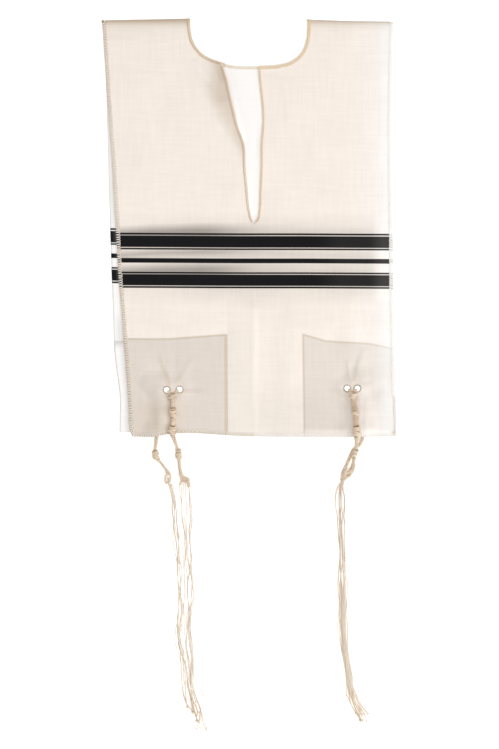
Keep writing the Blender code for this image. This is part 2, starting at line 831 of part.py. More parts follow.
def centre(objects):
    """Moves everything so that the origin is under the middle of the parts' box."""
    bpy.context.view_layer.update()
    graph = bpy.context.evaluated_depsgraph_get()
    corners = []
    for thing in bpy.data.collections["tallit_katan"].objects:
        mesh = thing.evaluated_get(graph).to_mesh()
        points = np.empty(len(mesh.vertices) * 3, np.float32)
        mesh.vertices.foreach_get("co", points)
        points = points.reshape(-1, 3)
        corners += [points.min(axis=0), points.max(axis=0)]
    low, high = np.min(corners, axis=0), np.max(corners, axis=0)
    shift = (-(low[0] + high[0]) / 2, -(low[1] + high[1]) / 2, -low[2])
    for thing in objects:
        thing.location = shift
    print("moved by", [round(float(part) / MM, 3) for part in shift])
    print("size", [round(float(part) / MM, 3) for part in high - low])


def main():
    for thing in list(bpy.data.objects):
        bpy.data.objects.remove(thing)
    collection = bpy.data.collections.new("tallit_katan")
    helpers = bpy.data.collections.new("cutters_and_pieces")
    for group in (collection, helpers):
        bpy.context.scene.collection.children.link(group)

    cotton = material("cotton", (0.88, 0.84, 0.78), 0.9)
    patch_cotton = material("patch_cotton", (0.80, 0.75, 0.68), 0.9)
    wool = material("wool_string", (0.80, 0.73, 0.62), 0.85)

    heads = {}
    loops = {}
    strings = []
    for corner in ("back_left", "back_right"):
        heads[corner] = lay(HEADS[corner], patch_top)
        loops[corner] = loop_route(corner, patch_top, back_rise, heads[corner][1])
        strings += [(x, y, radius, z + radius) for x, y, z, radius in heads[corner]]
        top_points = loops[corner][1:4] + loops[corner][-4:-1]
        strings += [(x, y, LOOP_RADIUS, z + LOOP_RADIUS) for x, y, z in top_points]

    def on_front(x, y):
        return front_top(x, y, strings)

    def under_front(x, y):
        return front_underside(x, y, strings)

    def under_front_patch(x, y):
        return under_front(x, y) - SEAM_GAP - PATCH

    crossed = top_of(heads["back_right"])

    def on_front_and_string(x, y):
        return np.maximum(on_front(x, y), crossed(x, y))

    heads["front_left"] = lay(HEADS["front_left"], on_front)
    heads["front_right"] = lay(HEADS["front_right"], on_front_and_string)
    for corner in ("front_left", "front_right"):
        loops[corner] = loop_route(corner, on_front, under_front_patch, heads[corner][1])

    fronts = {side: front_half(side, strings) for side in NECK}
    backs = {side: back_half(side) for side in NECK}
    halves = []
    for side in NECK:
        fold = fold_half(fronts[side][0], backs[side][0])
        halves.append(np.concatenate([fronts[side][::-1], fold, backs[side]]))

    cutters = {}
    for corner in EYELETS:
        underside = under_front if corner.startswith("front") else back_rise
        cutters[corner] = eyelet_cutters(corner, underside, helpers)

    body = sheet("body", collection, cotton, halves, CLOTH)
    for corner in EYELETS:
        cut_eyelets(body, cutters[corner])
    flatten(body)

    to_patch = CLOTH / 2 + SEAM_GAP + PATCH / 2
    for corner in PATCHES:
        panel, side = corner.split("_")
        if panel == "front":
            points = patch_points(corner, fronts[side], -to_patch)[::-1]
        else:
            points = patch_points(corner, backs[side], to_patch)
        patch = sheet(f"patch_{corner}", collection, patch_cotton, [points], PATCH)
        cut_eyelets(patch, cutters[corner])
        flatten(patch)

    for corner in EYELETS:
        tzitzit(corner, heads[corner], loops[corner], collection, helpers, wool)

    centre(list(collection.objects) + list(helpers.objects))


main()
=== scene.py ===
"""How a child's tallit katan looks that lies flat with its front up.

The cloth is a thin shell on the form of the part's body, with its creases, woven stripes, overlocked
edges and patches that show through. Each tzitzit is made of its own strands: the loop through the
eyelets, the windings, the knots and the strings of the tassel.

All tables are in millimetres, from the middle of the shoulder line: x to the right as it is seen from
above, y towards the shoulders, z up from the surface that it lies on.
"""

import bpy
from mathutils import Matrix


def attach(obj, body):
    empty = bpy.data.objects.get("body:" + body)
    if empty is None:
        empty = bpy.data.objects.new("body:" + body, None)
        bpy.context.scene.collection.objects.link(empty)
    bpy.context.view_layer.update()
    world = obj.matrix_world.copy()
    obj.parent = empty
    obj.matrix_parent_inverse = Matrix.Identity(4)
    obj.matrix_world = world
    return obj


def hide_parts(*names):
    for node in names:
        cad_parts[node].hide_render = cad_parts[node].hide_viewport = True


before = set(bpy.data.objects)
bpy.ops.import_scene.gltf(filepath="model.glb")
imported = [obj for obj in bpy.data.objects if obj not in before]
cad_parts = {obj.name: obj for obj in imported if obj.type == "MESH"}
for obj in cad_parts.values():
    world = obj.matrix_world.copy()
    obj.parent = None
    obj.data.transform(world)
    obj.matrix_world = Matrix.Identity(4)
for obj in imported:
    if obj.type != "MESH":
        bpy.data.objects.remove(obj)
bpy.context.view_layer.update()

import math

import bmesh
import bpy
import mathutils
import numpy as np

MM = 0.001
# From the middle of the shoulder line to the part's origin
FRAME_SHIFT = (-0.899, 445.432, 0.001)

# The part's walls, and the clearance between its pieces
CLOTH = 1.2
PATCH = 1.0
SEAM_GAP = 0.3
PANEL_GAP = 0.6
STRING_GAP = 0.6
# The fold at the shoulders, and how far from it the front settles
FOLD_RADIUS = 1.9
FOLD_SETTLES = 28.0
EYELET_RADIUS = 3.5
LOOP_RADIUS = 1.0

# The real cloth is thinner than the part's walls, in the middle of them
SHELL = 0.5
PATCH_SHELL = 0.4

RANDOM = np.random.default_rng(18)


def rows_of(text):
    """The numbers of a text, with a comma after each row but the last."""
    return np.array([row.split() for row in text.split(",")], float)


def table(columns, text):
    """Rows of numbers, kept as one array for each named column."""
    return dict(zip(columns.split(), rows_of(text).T))


# The shoulder line, seen from above
SHOULDER = table("x y", "-183 -1.1, -72.6 1.2, 72.4 -0.1, 127 -2, 180.8 -2.7")

# The side edges of the front, then its hem from the left corner to the right one
FRONT_SIDES = table("y left right", """
    0 -182.8 181, -20 -181.7 180.5, -50 -179.9 179.7, -125 -174.7 178.6, -190 -169.9 178.8,
    -263 -165.5 179.9, -329 -161.8 180.9, -382 -157.3 181.9, -438 -152.8 182.5, -488 -149.3 184,
    -512 -147.9 184.5, -521 -144.8 184.6""")
FRONT_HEM = table("x y", """
    -145 -521.5, -120 -521.5, -101 -518.4, -80 -517.2, -33 -519.4, -11 -520.9, 40 -521.9,
    115 -521.8, 184.6 -521.5""")

# The back lies a little to the left of the front, and its hem is higher
BACK_SIDES = table("y left right", """
    0 -182.4 180.2, -75 -178.6 177.4, -163 -175.8 176.2, -219 -174.3 176.4, -263 -172.9 176.6,
    -329 -170.8 177, -382 -169.1 177, -419 -167.6 177, -438 -165.4 177, -456 -162.8 177.2,
    -475 -161 177.5, -488 -161.2 177.8, -516.2 -161.4 178.5""")
BACK_HEM = -517.2

# The neck hole is a superellipse on each side of its middle, with the slit's corners at these angles
NECK = {
    "left": {"half_width": 73.5, "depth": 57.0, "power": 2.8, "corner": 73.7},
    "right": {"half_width": 74.0, "depth": 60.0, "power": 3.3, "corner": 87.1},
}
NECK_MIDDLE = (1.0, -59.2)
# From this angle on, both sides level out to the middle's depth
NECK_LEVELS_FROM = 60.0

# The slit's edges, open at the neck and closing to a point
SLIT = table("y left right", """
    -60.5 -32.3 12.2, -67 -30.5 12.7, -76 -27.6 13.4, -98 -22.9 15.6, -116 -18.4 17.3,
    -132 -14.6 17.3, -155 -6.2 15.4, -184 -4.4 15.3, -213 -1.9 14, -238 0.9 12.9, -250 3.9 10.9,
    -255.6 7.2 7.2""")

# The front's left flap curls up beside the slit
FLAP = {"from_x": -80.0, "middle_y": -88.0, "reach_y": 62.0, "rise": 8.5}

# Where the corner patches start: x of the inner edge, and the line of the upper one
PATCHES = {
    "front_left": {"inner": -28.6, "top": table("x y", "-158 -400.6, -98 -398, -28 -395.2")},
    "front_right": {"inner": 68.4, "top": table("x y", "68 -393.5, 118 -403, 182 -413.8")},
    "back_left": {"inner": -38.0, "top": table("x y", "-169 -402.5, -38 -398")},
    "back_right": {"inner": 60.0, "top": table("x y", "60 -398, 177 -403")},
}
PATCH_INSET = 0.8
# The front rises over them from these places, over this distance
STACK = {"left": -24.0, "right": 55.0, "top": -390.0, "ramp": 32.0}

EYELETS = {
    "front_left": ((-101.8, -463.0), (-86.0, -462.5)),
    "front_right": ((122.8, -461.1), (135.3, -461.1)),
    "back_left": ((-117.6, -455.6), (-102.6, -455.6)),
    "back_right": ((135.5, -451.9), (150.5, -451.9)),
}
# The cloth stands this much higher where a loop of cord passes under it between two eyelets
LOOP_RISE = 3.1
LOOP_PLATEAU = 3.0
# The front keeps this much more room over such a bump
BUMP_CLEARANCE = 0.4
LOOP_SPREAD = 16.0
# A loop goes down near each eyelet's inner side, and comes out of it over the lower rim, onto the cloth
LOOP = {"inward": 1.9, "down": 0.6, "out": 3.0, "over_rim": 0.3, "bend": 1.3}
# The front settles over what lies between the cloths within this distance
RIDGE_SPREAD = 20.0
RIDGE_CLEARANCE = 1.0

# The wound heads of the tzitzit, from their first knot to just before their last. A radius over
# 3.5, or 2.8 between the cloths, is a knot
HEADS = {
    "front_left": table("x y radius", """
        -95 -466.8 2.8, -95.1 -471 4.2, -94.7 -475.2 3, -94.3 -484 3, -94 -487.8 4.4,
        -94 -494 4.6, -94.2 -498.4 3.1, -94.4 -506.6 3.2, -95.2 -511 4.7, -95.4 -516 4.3,
        -94 -520.6 3.1, -91.8 -527.5 2.6, -89.5 -533.6 2.1, -88.3 -539.2 3.6, -86.8 -545 3.9,
        -86.8 -549.6 2.6, -86.2 -558 2.3, -85 -564.6 2.4, -82.8 -571.4 2.7, -80.6 -574.8 2.4"""),
    "front_right": table("x y radius", """
        130.2 -465.4 3, 130.4 -469.6 4.1, 129.6 -474.2 3.2, 130.9 -479.4 3, 131.6 -485.2 3.5,
        132.6 -491 3.8, 132.6 -495.4 3.2, 132.9 -500 3.6, 133 -505.8 3, 133.5 -510.2 3.8,
        134.4 -515.4 4.5, 134.1 -520.4 3.5, 134.5 -526.4 2.7, 134.5 -533.4 2.4, 133.4 -538.4 3.3,
        132.2 -543.4 4, 131.1 -548.4 2.8, 130.6 -554.4 2.4, 128.7 -559.8 2.3, 126.8 -563.4 2.4"""),
    "back_left": table("x y radius", """
        -109.2 -462 2.2, -108.4 -466.4 2.9, -107.4 -470.8 2.4, -106.2 -479 2.4, -105.6 -486.6 2.4,
        -105.5 -490.8 2.9, -105.8 -495.4 2.4, -107.6 -505 2.4, -110 -511.6 2.9, -112.6 -516.4 2.5,
        -115 -523.2 2.5, -115.8 -530.6 2.4, -116.8 -537.2 2.3, -117 -542.2 3.7, -115.8 -547 4.2,
        -112.4 -550.8 2.3, -106.8 -557.4 1.9, -102.8 -563.4 1.9, -101.8 -569.4 2.1"""),
    "back_right": table("x y radius", """
        143.2 -458.8 2.2, 143.4 -463 2.9, 143.7 -467.6 2.4, 144.3 -476 2.4, 144.6 -484 2.4,
        144.7 -490 2.9, 144.6 -496 2.4, 144.5 -504 2.4, 144.1 -511 2.9, 143.1 -518 2.4,
        141.9 -525.4 2.5, 138.8 -531 2.5, 134.2 -534.8 2.3, 130.2 -538.6 2.5, 127.4 -544.4 2.4,
        124.6 -551.2 2.3, 121.4 -558 2.2, 118.4 -565.4 2.1"""),
}
# How steeply a head comes down off the hem to the surface, and how far it clears the hem's edge
HEAD_SLOPE = 0.32
HEM_MARGIN = 3.0

# Height of the middle of each head's last knot
LAST_KNOTS = {"front_left": 3.7, "front_right": 5.7, "back_left": 3.3, "back_right": 2.8}
# A tassel's strings leave it in two layers, this far apart, and settle within this distance
LAYER_HEIGHT = 1.6
STRING_SETTLES = 14.0

# Rows follow the shoulder line this far down, and the hem's waves from a y over a length
SHOULDER_REACH = 120.0
HEM_WAVES = {"from_y": -440.0, "length": 80.0}

# The strings of the tassels as they lie: x in tenths of a millimetre from a middle line, at each y
STRAND_MIDDLE = {"left": -84.0, "right": 118.0}
STRAND_Y = {
    "left": (
        "-580.6 -590.6 -600.6 -613.1 -625.6 -639.4 -656.9 -673.1 -688.1 -705.6 -720.6 -735.6 -750.6 "
        "-765.6 -778.1 -790.6 -805.6 -820.6 -835.6 -850.6 -856.9 -863.1 -873.1 -883.1 -894.4"
    ),
    "right": (
        "-575.6 -585.6 -595.6 -606.9 -619.4 -631.9 -648.1 -663.1 -678.1 -694.4 -710.6 -725.6 -740.6 "
        "-756.9 -773.1 -788.1 -803.1 -819.4 -835.6 -843.1 -850.6 -858.1 -865.6 -873.1"
    ),
}
STRANDS = {
    "back_left": (
        "-162 -135 -105 -110 -99 -85 -57 -52 -48 -42 -34 -32 -50 -75 -81 -39 -7 2 11 43 70 122",
        "-157 -131 -100 -86 -92 -90 -62 -49 -51 -37 -31 -35 -52 -49 -37 -15 -4 5 15 52 82 131",
        "-139 -128 -118 -119 -102 -105 -98 -64 -44 -41 -36 -37 -39 -44 -31 -5 25 24 49 64 72",
        "-128 -112 -92 -65 -62 -52 -32 -31 5 -2 -7 11 -15 -35 -41 -11 40 68 85 113 122 150 184",
        "-131 -116 -90 -60 -57 -45 -26 -21 8 -6 -2 4 -10 -39 -20 15 44 74 95 118 132 156 192",
        "-101 -92 -74 -64 -59 -37 -34 -35 -22 -12 -19 -6 1 -26 -11 25 22 48 50 59 68",
        "-120 -102 -81 -82 -85 -68 -29 -37 -44 -35 -6 25 -1 2 -6 35 60 65 80 138 150",
        "-152 -124 -99 -61 -55 -42 8 26 32 35 38 28 19 -12 -26 2 56 86 118 148 172 193 191",
    ),
    "front_left": (
        "-26 -22 -4 -1 10 32 41 43 36 39 36 34 43 40 49 63 84 102 119 128 140 165 196",
        "-2 2 4 1 16 40 58 52 65 78 76 88 61 69 61 79 109 118 120 140 170 198 193",
        "22 29 31 32 39 55 60 72 94 72 74 100 81 72 66 72 95 110 122 170 185 202 226 201",
        "48 51 59 65 60 66 75 86 105 82 78 95 90 89 94 115 122 119 121 119 125 135",
        "84 95 99 105 109 90 109 115 110 130 124 119 98 98 105 118 128 125 138 180 213 233 236 230",
        "91 100 104 109 113 102 106 136 124 138 128 113 109 110 113 125 138 135 144 193 218 240 255 286 "
        "350",
        "110 120 136 129 139 122 115 128 132 155 160 136 119 115 128 138 144 150 158 200 228 245 268 305",
        "94 104 115 125 131 115 113 132 122 140 152 122 115 119 136 148 154 160 238 272 265 238",
    ),
    "back_right": (
        "-22 -46 -52 -50 -50 -44 -42 -40 -44 -32 -45 -48 -42 -48 -33 -12 10 38 44 46",
        "-20 -38 -46 -44 -34 -38 -36 -34 -32 -27 -19 -15 -25 -21 -9 2 28 50 62 76 90 110 156",
        "-10 -30 -30 -26 -30 -22 -20 -12 -6 -22 -14 -10 -14 -9 1 12 35 56 78 88 114 142 180 214",
        "-5 -22 -24 -24 -28 -18 -14 -4 -2 6 8 5 -2 -1 8 20 45 66 90 104 130 166 208",
        "0 -14 12 14 0 -16 -6 0 2 10 19 17 17 17 25 38 59 85 102 124 150 190 248",
        "-2 -6 16 17 4 20 20 16 22 15 33 33 30 33 39 46 70 100 116 140 176 210 254 282",
        "5 -2 20 20 24 24 24 20 26 32 55 48 36 52 52 56 78 108 126 158 184 228 288",
        "-1 4 25 26 28 28 26 24 40 52 58 52 50 60 58 65 88 116 136 166 202 238 302",
    ),
    "front_right": (
        "-17 -78 -98 -96 -76 -68 -58 -42 -48 -62 -69 -52 -52 -70 -48 -20 8 35 44 48 75 108 150",
        "-12 -62 -91 -93 -73 -64 -54 -40 -42 -56 -52 -42 -45 -35 -17 -5 12 40 56 72 84 112 158 196",
        "-15 -42 -48 -50 -50 -42 -38 -36 -34 -30 -35 -34 -30 -29 -15 -2 24 45 70 86 112 140 171 208",
        "-8 -32 -44 -46 -47 -38 -34 -32 -30 -26 -26 -22 -20 -14 -1 6 33 52 80 92 118 146 178 212",
        "-2 -26 -28 -26 -30 -22 -18 -8 -5 -24 -9 -5 -10 -5 5 16 40 61 88 100 126 164 196 220",
        "2 -18 -22 -22 -4 -18 -10 -2 0 8 0 0 5 2 11 23 49 70 96 112 133 170 214 240",
        "6 -8 16 18 2 -14 -2 2 18 13 15 12 11 12 20 33 55 80 103 126 150 188 228",
        "9 0 22 24 24 24 22 18 25 28 23 21 23 25 30 40 62 92 112 140 178 208 252",
    ),
}

# How the strings of each last knot are drawn: how many side by side, how far up, and their way
DRAWN_KNOTS = {
    "back_left": (
        (2, 0.0, "-101.2 -562.5, -100.5 -566.2, -100.0 -568.4, -102.7 -569.1, -104.1 -571.9, -104.2 "
                "-576.2, -103.2 -579.1, -101.2 -578.6, -100.2 -575.0, -101.5 -572.6"),
        (2, 0.5, "-101.8 -563.8, -98.8 -566.4, -97.7 -569.6, -98.0 -574.4, -99.0 -580.0"),
    ),
    "front_left": (
        (4, 0.0, "-85.2 -565.6, -84.2 -570.6, -82.7 -574.8, -79.7 -576.4, -76.8 -576.6, -75.1 -579.4, "
                "-74.7 -583.8"),
        (2, 0.9, "-83.5 -566.9, -81.0 -571.1, -77.2 -572.6, -74.2 -575.1, -75.8 -577.9, -80.0 -578.1, "
                "-84.0 -577.4, -85.8 -580.6"),
    ),
    "back_right": (
        (3, 0.0, "120.0 -561.4, 118.2 -564.4, 117.1 -568.8, 116.6 -573.1, 116.4 -576.9"),
    ),
    "front_right": (
        (3, 0.0, "131.8 -555.6, 130.3 -561.2, 128.2 -566.2, 124.7 -570.4, 120.3 -573.1, 117.2 -577.5"),
        (2, 0.9, "130.8 -559.4, 127.5 -563.6, 123.5 -564.0, 119.5 -565.1, 117.2 -568.6, 116.6 -574.4"),
        (2, 1.2, "128.6 -563.8, 125.4 -566.9, 122.0 -568.6, 118.6 -571.0"),
        (2, 1.7, "127.5 -564.1, 127.9 -568.1, 123.8 -571.4, 119.5 -569.1, 120.0 -565.9, 124.0 -565.4, "
                "126.3 -568.1"),
    ),
}
def smooth(t):
    """Rises from 0 to 1 as t does, and levels out at both ends."""
    t = np.clip(t, 0, 1)
    return t * t * (3 - 2 * t)


def follow(rows, along, column, value):
    """The column's value at a place along the table, on a smooth curve through its rows."""
    order = np.argsort(rows[along])
    x, y = rows[along][order], rows[column][order]
    slope = np.gradient(y, x)
    value = np.clip(value, x[0], x[-1])
    i = np.clip(np.searchsorted(x, value) - 1, 0, len(x) - 2)
    span = x[i + 1] - x[i]
    t = (value - x[i]) / span
    start = y[i] * (1 + 2 * t) * (1 - t) ** 2 + slope[i] * span * t * (1 - t) ** 2
    end = y[i + 1] * t * t * (3 - 2 * t) - slope[i + 1] * span * t * t * (1 - t)
    return start + end


def from_segment(x, y, a, b):
    """Distance in plan from each point to the segment from a to b."""
    run_x, run_y = b[0] - a[0], b[1] - a[1]
    t = np.clip(((x - a[0]) * run_x + (y - a[1]) * run_y) / (run_x**2 + run_y**2), 0, 1)
    return np.hypot(x - a[0] - t * run_x, y - a[1] - t * run_y)


# Heights of the cloths


def eyelet_rise(corner, x, y):
    """How far the cloth is lifted by the loop of cord that passes under it at a corner."""
    away = from_segment(x, y, *EYELETS[corner])
    return LOOP_RISE * smooth(1 - (away - LOOP_PLATEAU) / LOOP_SPREAD)


def back_rise(x, y):
    return eyelet_rise("back_left", x, y) + eyelet_rise("back_right", x, y)


def over_patches(x, y):
    """1 where the front lies on the corner patches, 0 where it lies on the back, and a ramp between."""
    left = smooth((STACK["left"] + STACK["ramp"] - x) / STACK["ramp"])
    right = smooth((x - STACK["right"] + STACK["ramp"]) / STACK["ramp"])
    return (left + right) * smooth((STACK["top"] + STACK["ramp"] - y) / STACK["ramp"])


def patch_top(x, y):
    """Top of the back's corner patches, or of the surface beyond the back's hem."""
    return np.where(y > BACK_HEM - HEM_MARGIN, CLOTH + SEAM_GAP + PATCH + back_rise(x, y), 0.0)


def flap_rise(x, y):
    """The curl of the left flap, highest at its edge on the slit."""
    edge = follow(SLIT, "y", "left", y)
    across = np.clip((x - FLAP["from_x"]) / (edge - FLAP["from_x"]), 0, 1.05)
    along = smooth(1 - abs(y - FLAP["middle_y"]) / FLAP["reach_y"])
    return np.where(x < edge + 1, FLAP["rise"] * across**2 * along, 0.0)


def ridge(x, y, strings):
    """How far the front is lifted by the strings, each (x, y, radius, top), that lie under it."""
    lift = np.zeros_like(x)
    for string_x, string_y, radius, top in strings:
        away = np.hypot(x - string_x, y - string_y) - radius / 2
        flat = CLOTH + SEAM_GAP + PATCH + PANEL_GAP
        height = top + RIDGE_CLEARANCE - flat - back_rise(string_x, string_y)
        lift = np.maximum(lift, height * smooth(1 - away / RIDGE_SPREAD))
    return lift


def front_underside(x, y, strings):
    """Underside of the front cloth."""
    stack = 2 * (PATCH + SEAM_GAP) * over_patches(x, y)
    loops = eyelet_rise("front_left", x, y) + eyelet_rise("front_right", x, y)
    lift = (loops**4 + ridge(x, y, strings) ** 4) ** 0.25
    fold = 2 * FOLD_RADIUS - CLOTH - PANEL_GAP
    fold_lift = fold * smooth(1 + y / FOLD_SETTLES)
    below = back_rise(x, y)
    below = below + BUMP_CLEARANCE * smooth(2 * below)
    return CLOTH + PANEL_GAP + stack + lift + below + fold_lift + flap_rise(x, y)


def front_top(x, y, strings):
    """Top of the front cloth, or the surface beyond its hem."""
    hem = follow(FRONT_HEM, "x", "y", x)
    return np.where(y > hem - HEM_MARGIN, front_underside(x, y, strings) + CLOTH, 0.0)


def resting_height(surface, x, y, radius):
    """Lowest middle of a round string that lies clear of a surface."""
    reach = radius * np.linspace(-1, 1, 9)
    across, along = (offset.ravel() for offset in np.meshgrid(reach, reach))
    under = np.sqrt(np.maximum(radius**2 - across**2 - along**2, 0))
    return float(np.max(surface(x + across, y + along) + under)) + STRING_GAP


def lay(rows, surface):
    """Points (x, y, z, radius) of a head laid on a surface, coming down no steeper than its slope."""
    x, y, radius = rows["x"], rows["y"], rows["radius"]
    rest = np.array([resting_height(surface, *place) for place in zip(x, y, radius)])
    apart = np.hypot(x[:, None] - x, y[:, None] - y)
    z = np.max(rest - HEAD_SLOPE * apart, axis=1)
    return np.stack([x, y, z, radius], axis=1)


def top_of(head):
    """A surface: the top of a head that is laid already, and the floor around it."""

    def surface(x, y):
        top = np.zeros_like(x)
        for a, b in zip(head[:-1], head[1:]):
            for t in np.linspace(0, 1, 4):
                at_x, at_y, at_z, radius = a * (1 - t) + b * t
                away = np.hypot(x - at_x, y - at_y)
                round_top = at_z + np.sqrt(np.maximum(radius**2 - away**2, 0))
                top = np.maximum(top, np.where(away < radius, round_top, 0.0))
        return top

    return surface


# Cord loops through the eyelets


def loop_route(corner, over, under, first_knot):
    """Out of the first knot, down one eyelet, across under the cloth and up through the other."""
    left, right = (np.array(place) for place in EYELETS[corner])
    inward = (right - left) / np.hypot(*(right - left))
    knot = first_knot[:3]
    legs = []
    for place in (left + LOOP["inward"] * inward, right - LOOP["inward"] * inward):
        x, y = place[0], place[1] - LOOP["down"]
        out_y = place[1] - LOOP["out"]
        mouth = resting_height(over, x, out_y, LOOP_RADIUS) + LOOP["over_rim"]
        below = float(under(np.array(x), np.array(y))) - STRING_GAP - LOOP_RADIUS
        between = (np.array([x, out_y]) + knot[:2]) / 2
        on_cloth = resting_height(over, *between, LOOP_RADIUS)
        route = [tuple(knot), (*between, on_cloth), (x, y, mouth), (x, y, below)]
        legs.append([np.array(point) for point in route])
    return rounded(legs[0] + legs[1][::-1], LOOP["bend"])


def rounded(points, radius):
    """The points, with a short arc in place of each corner."""
    made = [points[0]]
    for before, corner, after in zip(points, points[1:], points[2:]):
        back, on = before - corner, after - corner
        reach = min(radius, 0.45 * np.linalg.norm(back), 0.45 * np.linalg.norm(on))
        start, end = corner + unit(back) * reach, corner + unit(on) * reach
        made += [start, (start + end + 2 * corner) / 4, end]
    return made + [points[-1]]


def neck_edge(side, angle):
    """A point of the neck hole, by its angle in degrees down from the shoulder line."""
    neck = NECK[side]
    turn = math.radians(angle)
    level = smooth((angle - NECK_LEVELS_FROM) / (90 - NECK_LEVELS_FROM))
    depth = neck["depth"] + (-NECK_MIDDLE[1] - neck["depth"]) * level
    x = neck["half_width"] * abs(math.cos(turn)) ** (2 / neck["power"])
    y = -depth * abs(math.sin(turn)) ** (2 / neck["power"])
    if angle == 90:
        return NECK_MIDDLE
    return (-x if side == "left" else x, y)


# Creases of the front, as soft ridges (height over 0) and troughs: from x y to x y
FRONT_CREASES = table("x1 y1 x2 y2 half height", """
    -67 -54 -44.5 -84.5 4 0.9, -58 -92 -38 -118 5 -0.5, 23 -66 52 -72 3.5 -0.5,
    30 -76 55 -79 3.5 0.4, -108.6 -425.6 -96.2 -455 3.4 0.9, -70.8 -425.6 -88 -453 3.8 0.8,
    -92 -420 -92.6 -450 4.5 -0.5, -82 -464.6 -54.5 -464 3.2 0.5, -112 -462 -134 -455 4 0.4,
    124.2 -429.4 126.8 -454 3.6 0.8, 143 -417 131.4 -452 5.2 1, 134.4 -421 129.4 -448 4 -0.5,
    142.8 -475 143.4 -501 3 -0.5, 145.8 -505 147.6 -517.5 3.2 0.5, 141 -460 166 -452 4 0.4,
    8.6 -338 8.8 -516 2.6 0.35, 13.6 -332 14.6 -516 5 -0.22, 130 -350 125 -408 12 0.6,
    -27 -354 5 -354.5 5 -0.35, -150 -60 -120 -150 14 0.35, -60 -150 -40 -240 12 -0.3,
    70 -110 88 -215 14 0.35, 120 -60 132 -180 11 -0.25, -70 -340 -45 -400 12 0.3""")
# The back's, which are hidden, are of the same kinds
BACK_CREASES = table("x1 y1 x2 y2 half height", """
    -124 -420 -113 -447 3.6 0.5, -92 -424 -104 -446 3.6 0.5, 128 -424 138 -443 3.6 0.5,
    164 -420 149 -443 4.2 0.5, 2 -120 3 -508 2.6 0.3, -120 -90 -96 -220 13 0.3,
    90 -130 70 -260 13 0.3, -60 -300 -40 -380 12 0.3""")
# How steeply a crease falls off to its sides
CREASE_FALL = 1.4
# Slow waves of the cloths: length across, length along, turn of the wave and height
WAVES = ((190.0, 260.0, 0.4, 0.22), (-120.0, 170.0, 1.9, 0.16), (75.0, -110.0, 3.1, 0.1))
# They start this far from the fold and grow over this length, and the back has a share of them
WAVES_FROM = {"y": 20, "length": 60}
BACK_WAVES = {"share": 0.4, "lift": 0.3, "turn": 2.0}
# The front rolls down into the fold over this distance, by this much
ROLL = {"over": 12.0, "drop": 1.5}

# Spacing of the cloth's rows and columns: from each place on, they are this far apart
NECK_ROWS = {"front": 34, "back": 20}
FRONT_ROWS = {
    "slit": ((-60.5, 2.7), (-255.6, 0)),
    "lower": ((-255.6, 2.8), (-443.0, 1.5), (-478.0, 2.5), (-520.2, 0)),
}
BACK_ROWS = ((-66.0, 5.9), (-436.0, 1.55), (-469.0, 5.0), (-511.0, 2.5), (-516.0, 0))
COLUMNS = {
    "left": ((0, 0.014), (0.03, 0.0182), (0.56, 0.0094), (0.76, 0.0182), (0.97, 0.015), (1, 0)),
    "right": ((0, 0.014), (0.03, 0.0182), (0.64, 0.0086), (0.87, 0.0182), (0.97, 0.015), (1, 0)),
}
FOLD_ROWS = 9
# The slit's first rows meet the side edge lower, clear of the neck's
SLIT_ROWS = {"above_y": -90.0, "reach": 29.5, "lower": 2.0}
# Where the neck's last row meets the side edge
NECK_SIDE = {"front": -62.0, "back": -66.0}
# Rows close under the neck's middle in the back: y at the side edge, and in the middle
NECK_CLOSE_ROWS = ((-67.4, -60.4), (-68.8, -63.0), (-70.3, -67.0))

# The woven stripes, in millimetres along the cloth from the middle of the first thin line
STRIPES = (
    (-1.2, 1.15), (2.3, 16.7), (17.6, 19.7), (30.3, 36.2), (47.4, 49.5), (50.5, 64.5), (65.3, 67.6),
)
FIRST_STRIPE = 268.3
# The stripes turn a little across the cloths, and the front's lie lower at the first of these places
STRIPES_TURN = 0.0052
STRIPES_SAG = ((-10.0, 70.0), (0.35, 0.0))
# How much higher the back's stripes lie than the front's, from one place across to another
BACK_SHIFT = {"from_x": -170.0, "to_x": 180.0, "left": 5.4, "right": -0.4}
# The rows bend down within this distance of the fold
FOLD_BENDS = 20
# Points are drawn onto an eyelet's rim from within this share of its radius
RIM_REACH = 1.6


def creases(rows, x, y):
    """Height of the creases, each along a segment."""
    height = np.zeros_like(x)
    for x1, y1, x2, y2, half, rise in zip(*rows.values()):
        away = from_segment(x, y, (x1, y1), (x2, y2))
        height = height + rise * np.exp(-((away / half) ** 2) * CREASE_FALL)
    return height


def waves(x, y, turn):
    height = np.zeros_like(x)
    for across, along, start, rise in WAVES:
        height = height + rise * np.sin(math.tau * (x / across + y / along) + start + turn)
    return height


def away_from_fold(y):
    return smooth((np.abs(y) - WAVES_FROM["y"]) / WAVES_FROM["length"])


def roll(y):
    """How far the front comes down towards the fold."""
    return ROLL["drop"] * np.clip(1 + y / ROLL["over"], 0, 1) ** 2


def front_middle(strings):
    """The middle of the front cloth, as a function of place."""

    def surface(x, y):
        detail = creases(FRONT_CREASES, x, y) + waves(x, y, 0.0) * away_from_fold(y)
        return front_underside(x, y, strings) + CLOTH / 2 + detail - roll(y)

    return surface


def back_middle(x, y):
    """The middle of the back cloth, which the surface below it keeps flatter."""
    low = BACK_WAVES["share"] * away_from_fold(y) * (BACK_WAVES["lift"] + waves(x, y, BACK_WAVES["turn"]))
    detail = creases(BACK_CREASES, x, y) + low
    return back_rise(x, y) + CLOTH / 2 + np.maximum(detail, 0)


def spread_out(stops):
    """Places from the first stop to the last, each stretch at the spacing that its first stop gives."""
    made = [stops[0][0]]
    for (start, spacing), (end, _) in zip(stops, stops[1:]):
        count = max(1, round(abs(end - start) / spacing))
        made += list(np.linspace(start, end, count + 1)[1:])
    return np.array(made)


